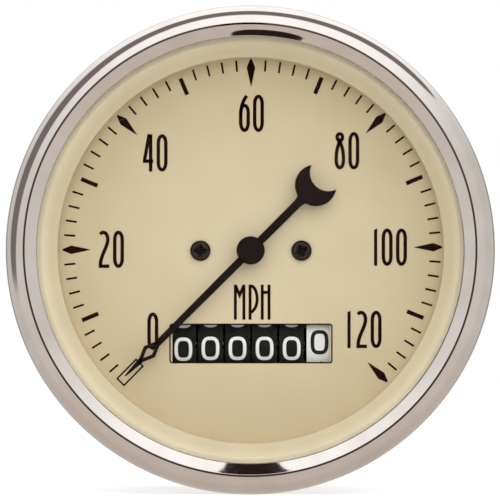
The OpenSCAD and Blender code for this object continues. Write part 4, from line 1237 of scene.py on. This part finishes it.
# %% Cross recess
CROSS_HALF, CROSS_REACH, CROSS_DEPTH = 0.4, 1.25, 0.62
CROSS_ROOT, CROSS_TAPER = 1.15, 0.6
CROSS_WALL, CROSS_END = 0.1, 0.14


def in_cross(x, y, degrees):
    """1 well inside the cross and 0 outside; its four arms narrow as they run out."""
    cosine, sine = heading(degrees)
    one_way, other_way = np.abs(x * cosine + y * sine), np.abs(y * cosine - x * sine)
    along, across = np.maximum(one_way, other_way), np.minimum(one_way, other_way)
    half = CROSS_HALF * (CROSS_ROOT - CROSS_TAPER * along / CROSS_REACH)
    return np.clip((half - across) / CROSS_WALL, 0, 1) * np.clip((CROSS_REACH - along) / CROSS_END, 0, 1)


print("the middle of the cross is", in_cross(0, 0, 0), "and a corner is", in_cross(1, 1, 0))

# %% [markdown]
# A head is a lathe shape whose height is a flat dome with the cross pressed in, and its shank goes
# through the dial. A flattened sphere would do for a plain dome, but the cross needs close rings in the
# middle as well as at the rim. The cross, the dish round it and the rim are marked for painted shade.
# The two crosses have stopped at different angles, as screws do.

# %% Dial screws
screw_low, screw_high = reach("dial_screws")
HEAD_R = 1.95
HEAD_H = screw_high[2] - DIAL_FACE
HEAD_EDGE = 0.45
HEAD_POWER = 5
HEAD_RINGS, RIM_RINGS, HEAD_STEPS = 30, 12, 144
RIM_SHARE, RIM_FROM = 0.28, 0.1
SHANK_R = 1.0
SCREW_X = screw_high[0] - HEAD_R
LEFT_TURN, RIGHT_TURN = 0, 24
DISH_R, DISH_SOFT, DISH_SHADE = 1.3, 0.4, 0.72
DARK_RIM, DARK_RIM_SOFT = 0.82, 0.08


def screw_head(centre_x, degrees):
    """Rings out to the rim, whose height is the edge's share plus a flat dome, root(1 - (r/R)^p), less
    the cross; then the underside and the shank."""
    rim = 1 - RIM_SHARE * np.cos(np.linspace(RIM_FROM, np.pi / 2, RIM_RINGS))
    rings = np.append(np.linspace(0, 1 - RIM_SHARE, HEAD_RINGS), rim)
    dome = np.sqrt(np.clip(1 - rings**HEAD_POWER, 0, 1))
    top = DIAL_FACE + HEAD_H * (HEAD_EDGE + (1 - HEAD_EDGE) * dome)
    angle = full_turn(HEAD_STEPS)
    x, y = HEAD_R * rings[:, None] * np.cos(angle), HEAD_R * rings[:, None] * np.sin(angle)
    heights = top[:, None] - CROSS_DEPTH * in_cross(x, y, degrees)
    radii = np.append(rings * HEAD_R, [HEAD_R, SHANK_R, SHANK_R, 0])
    under = all_round([DIAL_FACE, DIAL_FACE, screw_low[2], screw_low[2]], HEAD_STEPS)
    return turned(lathe(radii, np.vstack([heights, under]), HEAD_STEPS), 0, (centre_x, 0))


heads = [screw_head(-SCREW_X, LEFT_TURN), screw_head(SCREW_X, RIGHT_TURN)]
screws = make_piece("cross_head_screws", joined(heads), screw_black, "instrument")
# Painted shade: in the cross recess, in a dish round it and at the rim.
x, y, z = points_of(screws)
from_middle = x - np.sign(x) * SCREW_X
distance = np.hypot(from_middle, y)
recess_shade = np.where(x < 0, in_cross(from_middle, y, LEFT_TURN), in_cross(from_middle, y, RIGHT_TURN))
rim_shade = np.clip((distance / HEAD_R - DARK_RIM) / DARK_RIM_SOFT, 0, 1)
dish_shade = DISH_SHADE * np.clip((DISH_R - distance) / DISH_SOFT, 0, 1)
mark_grime(screws, np.maximum(np.maximum(recess_shade, rim_shade), dish_shade))
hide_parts("dial_screws")

# %% [markdown]
# Behind the panel, the cable nose and the two studs are threaded. A thread is a lathe shape whose radius
# also depends on the angle: a wave that climbs one pitch in a turn. A helical sweep would do it too, but
# this way the thread and the plain shank are one closed surface.

# %% Thread
THREAD_POWER = 1.3
THREAD_ROOT_DARKENING = 0.7
ROOT_LIMIT = 1.1


def thread_wall(radius, pitch, depth, low, high, rows, count):
    """Radius less a rounded wave of height over pitch and angle over a turn, faded out at both ends and
    chamfered at the lower one. Gives a radius for each row and angle, and the rows' heights."""
    height = np.linspace(low, high, rows)
    wave = 0.5 - 0.5 * np.cos(2 * np.pi * height[:, None] / pitch - full_turn(count))
    fade = np.clip(np.minimum(height - low, high - height) / pitch, 0, 1)[:, None]
    chamfer = np.clip(1 - (height - low) / pitch, 0, 1)[:, None]
    return radius - depth * np.maximum(wave**THREAD_POWER * fade, chamfer), height


def threaded(before, wall, heights, after):
    """A lathe shape whose profile is a plain stretch, the wall of a thread, and another plain stretch."""
    count = wall.shape[1]
    before, after = np.reshape(before, (-1, 2)), np.reshape(after, (-1, 2))
    radii = np.vstack([all_round(before[:, 0], count), wall, all_round(after[:, 0], count)])
    return lathe(radii, np.concatenate([before[:, 1], heights, after[:, 1]]), count)


def mark_thread(piece, axis_x, radius, depth, start):
    """Darker in the roots of a thread: none on the crest, the full share at its depth, none deeper
    inside, and none on the chamfer, which ends at the start."""
    x, y, z = points_of(piece)
    below = (radius - np.hypot(np.abs(x) - axis_x, y)) / depth
    mark_grime(piece, THREAD_ROOT_DARKENING * np.clip(below, 0, 1) * (below < ROOT_LIMIT) * (z > start))


print("thread roots are marked down to", ROOT_LIMIT, "of a thread's depth")

# %% [markdown]
# The cable's nut goes on the nose: a zinc-plated ferrule with a fine thread, a seat for the cable's end
# and a bore for its core. It is one closed profile, from the thread over the shoulder and back through
# the bore. A Boolean cut through a threaded rod would give the same, with a ragged edge.

# %% Cable nose
FRAME_PLATE_T = 3.0
CASE_REAR = reach("case")[0][2]
PLATE_TOP = reach("frame")[0][2] + FRAME_PLATE_T
nose_low, nose_high = reach("cable_nose")
NOSE_R = 7.94
NOSE_PITCH, NOSE_DEPTH = 1.41, 0.55
NOSE_ROWS, NOSE_STEPS = 110, 144
NOSE_SHOULDER = 8.2
NOSE_BORE = 4.05
NOSE_SEAT_R, NOSE_SEAT_DEPTH = 4.75, 3.5
nose_thread = thread_wall(NOSE_R, NOSE_PITCH, NOSE_DEPTH, nose_low[2], CASE_REAR, NOSE_ROWS, NOSE_STEPS)
seat_z = nose_low[2] + NOSE_SEAT_DEPTH
nose_rest = [(NOSE_SHOULDER, CASE_REAR), (NOSE_SHOULDER, PLATE_TOP), (nose_high[0], PLATE_TOP),
             (nose_high[0], nose_high[2]), (NOSE_BORE, nose_high[2]), (NOSE_BORE, seat_z),
             (NOSE_SEAT_R, seat_z), (NOSE_SEAT_R, nose_low[2])]
nose_shape = threaded([], *nose_thread, nose_rest)
nose = make_piece("threaded_nose", nose_shape, zinc, "instrument")
mark_thread(nose, 0, NOSE_R, NOSE_DEPTH, nose_low[2] + NOSE_PITCH)
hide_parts("cable_nose")

# %% [markdown]
# Two long studs carry the clamp that holds the instrument in the panel. They are solid, so their profile
# begins and ends on the axis. One stud is made and set at both places. A Mirror modifier would make the
# second one, but with a left-hand thread.

# %% Studs
stud_low, stud_high = reach("mounting_studs")
STUD_R = 2.4
STUD_PITCH, STUD_DEPTH = 0.79, 0.4
STUD_ROWS, STUD_STEPS = 170, 40
STUD_SHOULDER = 2.6
STUD_HEAD_R = 4.0
stud_x = stud_high[0] - STUD_HEAD_R
stud_thread = thread_wall(STUD_R, STUD_PITCH, STUD_DEPTH, stud_low[2], CASE_REAR, STUD_ROWS, STUD_STEPS)
stud_rest = [(STUD_SHOULDER, CASE_REAR), (STUD_SHOULDER, PLATE_TOP), (STUD_HEAD_R, PLATE_TOP),
             (STUD_HEAD_R, stud_high[2]), (0, stud_high[2])]
stud = threaded([(0, stud_low[2])], *stud_thread, stud_rest)
both_studs = joined([turned(stud, 0, (side * stud_x, 0)) for side in (-1, 1)])
studs = make_piece("threaded_studs", both_studs, zinc, "instrument")
mark_thread(studs, stud_x, STUD_R, STUD_DEPTH, stud_low[2] + STUD_PITCH)
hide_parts("mounting_studs")

# %% [markdown]
# Two lamp holders push into the back of the case. Each is pressed from tinned sheet: a flange with a
# rolled edge, a boss with a bead round it, and a rim that holds a black washer, which keeps the brass
# contact apart from the metal. The solids have these as plain steps; with round edges, they catch the
# light as pressed sheet does.

# %% Lamp holder section
holder_low, holder_high = reach("lamp_sockets")
contact_low, contact_high = reach("lamp_contacts")
bulb_low, bulb_high = reach("lamp_bulbs")
CONTACT_R = (contact_high[1] - contact_low[1]) / 2
BULB_R = (bulb_high[1] - bulb_low[1]) / 2
BULB_STAND = 0.8
SOCKET_PLAY = 0.05
FLANGE_R = (holder_high[1] - holder_low[1]) / 2
FLANGE_OVER = 1.6
FLANGE_ROLL = 0.6
BOSS_R = 4.9
BOSS_RIM = 0.45
BOSS_FOOT = 0.5
BEAD_R = 0.35
BEAD_Z = 1.35
BEAD_STEPS, ROLLED_STEPS = 12, 14
WASHER_DEPTH = 0.5
washer_floor = holder_low[2] + WASHER_DEPTH
washer_r = BOSS_R - 2 * BOSS_RIM
hole_r = CONTACT_R + SOCKET_PLAY


def holder_profile():
    """From the round rim outwards: boss with its bead, round foot, flange with a rolled edge; then,
    inside the case, the barrel, its bore, the contact's hole and the washer's seat."""
    flange_top = CASE_REAR - 2 * FLANGE_ROLL
    rim = arc((BOSS_R - BOSS_RIM, holder_low[2] + BOSS_RIM), BOSS_RIM, 180, 360, ROLLED_STEPS)
    bead = arc((BOSS_R, holder_low[2] + BEAD_Z), BEAD_R, -90, 90, BEAD_STEPS)
    foot = arc((BOSS_R + BOSS_FOOT, flange_top - BOSS_FOOT), BOSS_FOOT, 180, 90, CORNER_STEPS)
    roll = arc((FLANGE_R - FLANGE_ROLL, CASE_REAR - FLANGE_ROLL), FLANGE_ROLL, -90, 90, ROLLED_STEPS)
    barrel_r, bore_r = FLANGE_R - FLANGE_OVER, BULB_R + SOCKET_PLAY
    bore_floor = bulb_low[2] - BULB_STAND
    inside = [(barrel_r, CASE_REAR), (barrel_r, holder_high[2]), (bore_r, holder_high[2]),
              (bore_r, bore_floor), (hole_r, bore_floor), (hole_r, washer_floor),
              (washer_r, washer_floor)]
    return np.vstack([rim, bead, foot, roll, inside])


print("holder section points:", len(holder_profile()))

# %% [markdown]
# Both lamps are alike, so a section is turned once and set at both places. Two linked objects would do as
# well, but the solid that they stand for is one node, so they are one piece.

# %% Lamp holders
lamp_x, lamp_y = holder_high[0] - FLANGE_R, holder_high[1] - FLANGE_R


def at_lamps(profile):
    """A profile turned on the lathe and set at both lamps."""
    shape = lathe(*profile.T, SMALL_STEPS)
    return joined([turned(shape, 0, (side * lamp_x, lamp_y)) for side in (-1, 1)])


holders = make_piece("lamp_holders", at_lamps(holder_profile()), tin_plate, "instrument")
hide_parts("lamp_sockets")

# %% [markdown]
# In each holder lie the black washer, a flat ring with a small chamfer, and the brass contact, a button
# with a low dome. Both are turned like the holder, because discs with square edges would look cut out.

# %% Washers and contacts
WASHER_EDGE = 0.12
CONTACT_DOME = 0.7
DOME_STEPS = 12
washer_top = holder_low[2] + WASHER_EDGE
washer = np.array([(hole_r, washer_floor), (hole_r, washer_top), (washer_r - WASHER_EDGE, washer_top),
                   (washer_r, washer_top + WASHER_EDGE), (washer_r, washer_floor)])
make_piece("lamp_washers", at_lamps(washer), drum_black, "instrument")
dome = arc((0, contact_low[2] + CONTACT_DOME), (CONTACT_R, CONTACT_DOME), -90, 0, DOME_STEPS)
button = np.vstack([dome, [(CONTACT_R, contact_high[2]), (0, contact_high[2])]])
contacts = make_piece("brass_contacts", at_lamps(button), brass, "instrument")
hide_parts("lamp_contacts")

# %% [markdown]
# Three slotted screws hold the movement in the case. A head is made of chords, laid side by side across
# a disc: that way two chords can lie exactly on each edge of the slot, one at the top and one on the
# floor, and the slot's walls are straight. On a polar grid, as for the dial screws, so wide a slot would
# have ragged edges.

# %% Slotted head
rear_low, rear_high = reach("case_screws")
# One screw stands a ring's radius up, two stand half of it down, so the heads cancel out of the sum
SCREW_RING = 2 * (rear_high[1] + rear_low[1])
REAR_HEAD_R = rear_high[1] - SCREW_RING
REAR_HEAD_H = CASE_REAR - rear_low[2]
REAR_RIM = 0.5
REAR_POWER = 4
REAR_SLOT_HALF = 0.42
REAR_SLOT_CLEAR = 1.2 * REAR_SLOT_HALF
REAR_SLOT_FLOOR = 0.45 * REAR_HEAD_H
REAR_CHORDS, REAR_CHORD_POINTS = 20, 41


def slotted_head():
    """A chord at y runs out to x = root(R^2 - y^2) on both sides. Its height is a low dome, from the
    rim's share at R to the full height in the middle, or the slot's floor between the slot's edges."""
    chords = REAR_HEAD_R * heading(np.linspace(0, 90, REAR_CHORDS))[1]
    chords = chords[chords > REAR_SLOT_CLEAR]
    edge = REAR_SLOT_HALF
    y = np.concatenate([-chords[::-1], [-edge, -edge, edge, edge], chords])[:, None]
    sunk = np.concatenate([0 * chords, [0, 1, 1, 0], 0 * chords])[:, None] > 0
    chord_end = np.sqrt(np.maximum(REAR_HEAD_R**2 - y**2, 0))
    x = chord_end * heading(np.linspace(-90, 90, REAR_CHORD_POINTS))[1]
    dome = np.sqrt(np.clip(1 - (np.hypot(x, y) / REAR_HEAD_R) ** REAR_POWER, 0, 1))
    top = np.where(sunk, REAR_SLOT_FLOOR, REAR_HEAD_H * (REAR_RIM + (1 - REAR_RIM) * dome))
    skirt = np.pad(top, ((0, 0), (1, 1)), constant_values=REAR_SLOT_FLOOR)
    height = np.pad(skirt, ((0, 0), (1, 1)))
    x = np.pad(x, ((0, 0), (2, 2)), mode="edge")
    points = np.stack([x, np.broadcast_to(y, x.shape), CASE_REAR - height], axis=-1)
    return points.reshape(-1, 3), grid_faces(*x.shape, False, True)


print("a slotted head has", len(slotted_head()[1]), "faces")

# %% [markdown]
# Each head gets a shank, which is turned on the lathe. The three screws stand evenly on a ring, and each
# slot points where its screw came to a stop. An Array modifier would turn all slots alike. The floor of
# the slots is darkened as painted shade.

# %% Case screws
REAR_SHANK_R = 1.5
REAR_SHANK_STEPS = 32
NEAR_FLOOR = 0.01
SCREW_PLACES = {90: 8, 210: 65, 330: 140}
shank_r = [0, REAR_SHANK_R, REAR_SHANK_R, 0]
shank_z = [CASE_REAR, CASE_REAR, rear_high[2], rear_high[2]]
rear_screw = joined([slotted_head(), lathe(shank_r, shank_z, REAR_SHANK_STEPS)])
rear_screws = [turned(rear_screw, slot_turn, SCREW_RING * heading(place))
               for place, slot_turn in SCREW_PLACES.items()]
case_screws = make_piece("slotted_screws", joined(rear_screws), zinc, "instrument")
above_floor = CASE_REAR - points_of(case_screws)[2] - REAR_SLOT_FLOOR
# Painted shade on the floor of the slots.
mark_grime(case_screws, 1.0 * (np.abs(above_floor) < NEAR_FLOOR))
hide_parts("case_screws")

# %% [markdown]
# The stage. The instrument stands on a plain pale floor, under a white sky. For the camera, and for what
# chrome and glass mirror, the sky has a strength of 1, which is white; for the light on the paint it is
# weaker. A picture of a real studio would light it too, but its own colours would tint the cream.

# %% Sky
SKY_FILL = 0.6


def seen_rays(tree):
    """1 for rays from the camera, from a mirror or through glass, else 0: the largest of the three."""
    path = tree.nodes.new("ShaderNodeLightPath")
    seen = path.outputs["Is Camera Ray"]
    for kind in ("Is Glossy Ray", "Is Transmission Ray"):
        either = tree.nodes.new("ShaderNodeMath")
        either.operation = "MAXIMUM"
        tree.links.new(seen, either.inputs[0])
        tree.links.new(path.outputs[kind], either.inputs[1])
        seen = either.outputs[0]
    return seen


world = bpy.data.worlds.new("white_sky")
world.use_nodes = True
bpy.context.scene.world = world
sky = world.node_tree.nodes["Background"]
sky.inputs["Color"].default_value = (1, 1, 1, 1)
level = world.node_tree.nodes.new("ShaderNodeMapRange")
level.inputs["To Min"].default_value = SKY_FILL
level.inputs["To Max"].default_value = 1.0
world.node_tree.links.new(seen_rays(world.node_tree), level.inputs["Value"])
world.node_tree.links.new(level.outputs["Result"], sky.inputs["Strength"])
print("sky lights with", SKY_FILL, "and shows as 1")

# %% [markdown]
# The floor is one wide square under the lowest point of the object. More light would make it white, but
# would bleach the dial as well. So it glows a little instead, for the same rays as the sky, and keeps the
# object's soft shadow.

# %% Floor
FLOOR_GLOW = 0.6
FLOOR_HALF = 3.0
FLOOR_BLOT = 60
FLOOR_DARK, FLOOR_LIGHT = (0.83, 0.83, 0.83, 1), (0.86, 0.86, 0.86, 1)
FLOOR_ROUGH = 0.9
floor_finish, tree, shader, place = new_finish("pale_floor")
floor_colour = shade(tree, noise(tree, place, FLOOR_BLOT), FLOOR_DARK, FLOOR_LIGHT)
tree.links.new(floor_colour, shader.inputs["Base Color"])
shader.inputs["Roughness"].default_value = FLOOR_ROUGH
shader.inputs["Specular IOR Level"].default_value = 0.0
shader.inputs["Emission Color"].default_value = (1, 1, 1, 1)
glow = tree.nodes.new("ShaderNodeMath")
glow.operation = "MULTIPLY"
glow.inputs[1].default_value = FLOOR_GLOW
tree.links.new(seen_rays(tree), glow.inputs[0])
tree.links.new(glow.outputs[0], shader.inputs["Emission Strength"])

floor_z = cad_low.z
corners = [(-FLOOR_HALF, -FLOOR_HALF, floor_z), (FLOOR_HALF, -FLOOR_HALF, floor_z),
           (FLOOR_HALF, FLOOR_HALF, floor_z), (-FLOOR_HALF, FLOOR_HALF, floor_z)]
floor_mesh = bpy.data.meshes.new("floor")
floor_mesh.from_pydata(corners, [], [(0, 1, 2, 3)])
floor_mesh.materials.append(floor_finish)
floor = put_in_scene("floor", floor_mesh)
floor.visible_glossy = False
floor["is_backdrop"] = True
print("floor at", round(floor_z / MM, 2), "mm")

# %% [markdown]
# The light is soft: most of it is the sky, and two square boxes add the rest. The wide one stands high in
# front, so that the lower slope of the funnel is bright and the top of the dial is in shade. The small
# one stands straight in front, and thins out the pointer's shadow. Both are kept out of mirrors, where
# their square outlines would show.

# %% Lamps
from mathutils import Vector


def soft_box(name, spot, size, watts):
    """A square lamp that faces the object and stays out of mirrors."""
    lamp = bpy.data.lights.new(name, "AREA")
    lamp.shape = "SQUARE"
    lamp.size = size
    lamp.energy = watts
    box = put_in_scene(name, lamp)
    box.location = spot
    box.rotation_euler = (-Vector(spot)).to_track_quat("-Z", "Y").to_euler()
    box.visible_glossy = False
    print(name, "of", watts, "watts")


soft_box("high_box", spot=(0.25, -1.0, 1.15), size=2.2, watts=18.0)
soft_box("front_box", spot=(0.1, -1.6, 0.2), size=0.9, watts=6.7)

# %% [markdown]
# Chrome shows what stands round it, so the studio gets sheets that only mirrors can see. Real reflectors
# would light the dial as well, and the picture would have to be balanced again after each change. A
# sheet glows by itself, with a tone painted on each of its points.

# %% Sheets for mirrors
def mirror_sheet(name, points, faces, tones):
    """A staged sheet that glows with a tone at each point, in mirrors and nowhere else."""
    mesh = bpy.data.meshes.new(name)
    mesh.from_pydata(points, [], faces)
    colours = np.concatenate([tones, np.ones((len(tones), 1))], axis=1).astype(np.float32)
    layer = mesh.attributes.new("tone", "FLOAT_COLOR", "POINT")
    layer.data.foreach_set("color", colours.ravel())
    finish, tree, shader = new_finish(name)[:3]
    tone = tree.nodes.new("ShaderNodeAttribute")
    tone.attribute_name = "tone"
    tree.links.new(tone.outputs["Color"], shader.inputs["Emission Color"])
    shader.inputs["Base Color"].default_value = (0, 0, 0, 1)
    shader.inputs["Specular IOR Level"].default_value = 0.0
    shader.inputs["Emission Strength"].default_value = 1.0
    mesh.materials.append(finish)
    sheet = put_in_scene(name, mesh)
    sheet.visible_camera = False
    sheet.visible_diffuse = False
    sheet.visible_shadow = False
    sheet.visible_transmission = False
    sheet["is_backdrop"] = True
    print(name, "of", len(mesh.polygons), "faces")


def ease(low, high, value):
    """0 below low, 1 above high, and a smooth 3t^2 - 2t^3 between."""
    share = np.clip((value - low) / (high - low), 0, 1)
    return share * share * (3 - 2 * share)


def towards(tone, other, share):
    """A tone taken towards another by a share from 0 to 1."""
    return tone + (other - tone) * share[..., None]


print("half of the way eases to", ease(0, 1, 0.5))

# %% [markdown]
# A dark band runs along the bezel's outer roll, from the left over the top towards the right. It is the
# mirror image of a dark seam in the studio, which is worked out first: where it runs, how wide it is and
# how its ends close. A black strip of mesh would show the same, but with hard edges.

# %% Dark seam
SEAM_MIDDLE, SEAM_REACH = 116.5, 75.5
SEAM_OFF_AXIS, SEAM_DIP, SEAM_DIP_SPAN = 71, 12, (0.4, 0.9)
SEAM_HALF, SEAM_SOFT = 12, 3
SEAM_LEFT_SWELL, SEAM_LEFT_SPAN = 7, (-0.3, 0.45)
SEAM_RIGHT_SWELL, SEAM_RIGHT_SPAN = 4, (0.4, 0.8)
SEAM_RIGHT_BLUNT, SEAM_LEFT_BLUNT = 16, 8
SEAM_LEFT_FADE = (0.88, 1.0)


def seam_share(around, off_axis):
    """1 in the dark seam and 0 outside. It runs round the axis at a distance off it, with a half width
    that swells to both sides and closes at the ends as root(1 - |across|^p). All angles are in degrees,
    and across goes from -1 at the right end to 1 at the left one."""
    across = (around - SEAM_MIDDLE) / SEAM_REACH
    middle = SEAM_OFF_AXIS + SEAM_DIP * ease(*SEAM_DIP_SPAN, -across)
    blunt = np.where(across < 0, SEAM_RIGHT_BLUNT, SEAM_LEFT_BLUNT)
    half = SEAM_HALF + SEAM_LEFT_SWELL * ease(*SEAM_LEFT_SPAN, across)
    half = half + SEAM_RIGHT_SWELL * ease(*SEAM_RIGHT_SPAN, -across)
    half = half * np.sqrt(np.clip(1 - np.abs(across) ** blunt, 0, 1))
    inside = 1 - ease(-SEAM_SOFT, SEAM_SOFT, np.abs(off_axis - middle) - half)
    return inside * (np.abs(across) < 1) * (1 - ease(*SEAM_LEFT_FADE, across))


print("the seam spans", 2 * SEAM_REACH, "degrees")

# %% [markdown]
# The largest sheet is a tent, a sphere round the whole studio. In front it is white above, pale grey at
# the sides and grey-beige below, with the dark seam across it. Behind, it turns into a plain room with a
# pale ceiling, darker walls and a pale ground, which the case mirrors. A picture of a studio could be
# wrapped round instead, but here each tone has a name and can be moved by itself.

# %% Reflection tent
TENT_R = 1.6
TENT_ROUND, TENT_ROWS = 180, 130
TENT_POLE = 2
WHITE_TONE = np.array([1.75, 1.73, 1.79])
GREY_TONE = np.array([0.93, 0.89, 0.88])
BEIGE_TONE = np.array([0.82, 0.71, 0.66])
SEAM_TONE = np.array([0.29, 0.255, 0.265])
CEILING_TONE = np.array([1.5, 1.5, 1.5])
WALL_TONE = np.array([0.42, 0.42, 0.43])
GROUND_TONE = np.array([0.8, 0.79, 0.77])
WHITE_STARTS, WHITE_ENDS = (20, 68), (100, 172)
BEIGE_DEPTH = (0.0, 0.9)
FRONT_GAIN, FRONT_FADE = 0.1, (45, 75)
CEILING_HEIGHT, GROUND_DEPTH = (0.2, 0.65), (0.15, 0.5)
ROOM_STARTS = (118, 140)
around, off_axis = np.meshgrid(np.linspace(0, 360, TENT_ROUND, endpoint=False),
                               np.linspace(TENT_POLE, 180 - TENT_POLE, TENT_ROWS), indexing="ij")
sideways, upwards = heading(around) * np.sin(np.radians(off_axis))
tent_points = TENT_R * np.stack([sideways, -np.cos(np.radians(off_axis)), upwards], axis=-1)
tone = towards(GREY_TONE, BEIGE_TONE, ease(*BEIGE_DEPTH, -heading(around)[1]))
tone = tone * (1 + FRONT_GAIN * (1 - ease(*FRONT_FADE, off_axis)))[..., None]
tone = towards(tone, WHITE_TONE, ease(*WHITE_STARTS, around) * (1 - ease(*WHITE_ENDS, around)))
room = towards(WALL_TONE, CEILING_TONE, ease(*CEILING_HEIGHT, upwards))
room = towards(room, GROUND_TONE, ease(*GROUND_DEPTH, -upwards))
tone = towards(tone, room, ease(*ROOM_STARTS, off_axis))
tone = towards(tone, SEAM_TONE, seam_share(around, off_axis))
tent_faces = grid_faces(TENT_ROUND, TENT_ROWS, True, False)
mirror_sheet("tent", tent_points.reshape(-1, 3), tent_faces, tone.reshape(-1, 3))

# %% [markdown]
# Two small black cards stand close to the instrument, also for mirrors only. The sloped face of the bezel
# picks one up at the bottom and one at the top, as dark gaps in its bright ring. Close to, they are seen
# from one place on the bezel only, where a far card would show up on the roll as well.

# %% Black cards
CARD_AWAY = 100
CARD_TONE = [0.032, 0.019, 0.02]


def black_card(name, spot, degrees, half_start, half_end, half_length, power):
    """A card where a mirror at a spot of the dial's frame looks to, at an angle from the axis in the y-z
    plane. It stands square to that line of sight: a rounded box in mm whose half width goes evenly from
    its start to its end."""
    forward, upward = heading(degrees)
    sight, card_up = np.array([0, upward, forward]), np.array([0, forward, -upward])
    across, along = squircle(1, 1, power=power).T
    half_width = (half_start + half_end) / 2 + along * (half_end - half_start) / 2
    outline = np.array(spot) + CARD_AWAY * sight + (across * half_width)[:, None] * [1, 0, 0]
    outline = outline + (along * half_length)[:, None] * card_up
    tones = np.tile(CARD_TONE, (len(outline), 1))
    mirror_sheet(name, to_row(outline), [tuple(range(len(outline)))], tones)


black_card("card_above", spot=(-2.02, -41.7, 6.9), degrees=48.8, half_start=3.18, half_end=4.95,
           half_length=19.8, power=12)
black_card("card_below", spot=(-4.35, 41.2, 6.8), degrees=-48.3, half_start=6.5, half_end=5.2,
           half_length=9.5, power=3.2)

# %% [markdown]
# The camera looks straight at the dial from a metre away, a touch from the right and from below, as the
# deep parts of the dial show in the photograph. Its focal length could be found by trying. Here it is
# worked out from the picture's width at the bezel: 500 pixels, of which the bezel takes twice 244.8. The
# real dial sits a little off the bezel's centre, and the aim halves that difference.

# %% Camera
PICTURE_PX = 500
BEZEL_PX_R = 244.8
BEZEL_PX_X, BEZEL_PX_Y = 250.1, 249.75
SENSOR_MM = 36
CAMERA_SPOT = Vector((0.016, -1.0, -0.018))
AIM_DEPTH = -0.005
pixel = BEZEL_R * MM / BEZEL_PX_R
aim = Vector(((PICTURE_PX / 2 - BEZEL_PX_X) * pixel, AIM_DEPTH, -(PICTURE_PX / 2 - BEZEL_PX_Y) * pixel))
eye = bpy.data.cameras.new("eye")
eye.sensor_width = SENSOR_MM
eye.lens = SENSOR_MM * (CAMERA_SPOT - aim).length / (PICTURE_PX * pixel)
camera = put_in_scene("eye", eye)
camera.location = CAMERA_SPOT
camera.rotation_euler = (aim - CAMERA_SPOT).to_track_quat("-Z", "Y").to_euler()
bpy.context.scene.camera = camera
bpy.context.scene.view_settings.view_transform = "Standard"
print("lens", round(eye.lens, 1), "mm")

# %% [markdown]
# Last, the dressed object's box is compared with the box of the solids, and how much it has grown is
# printed.

# %% Sizes
import json

seen_low, seen_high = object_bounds()
growth = np.array(seen_high - seen_low) - np.array(cad_high - cad_low)
print("grown by", (growth / MM).round(3), "mm")
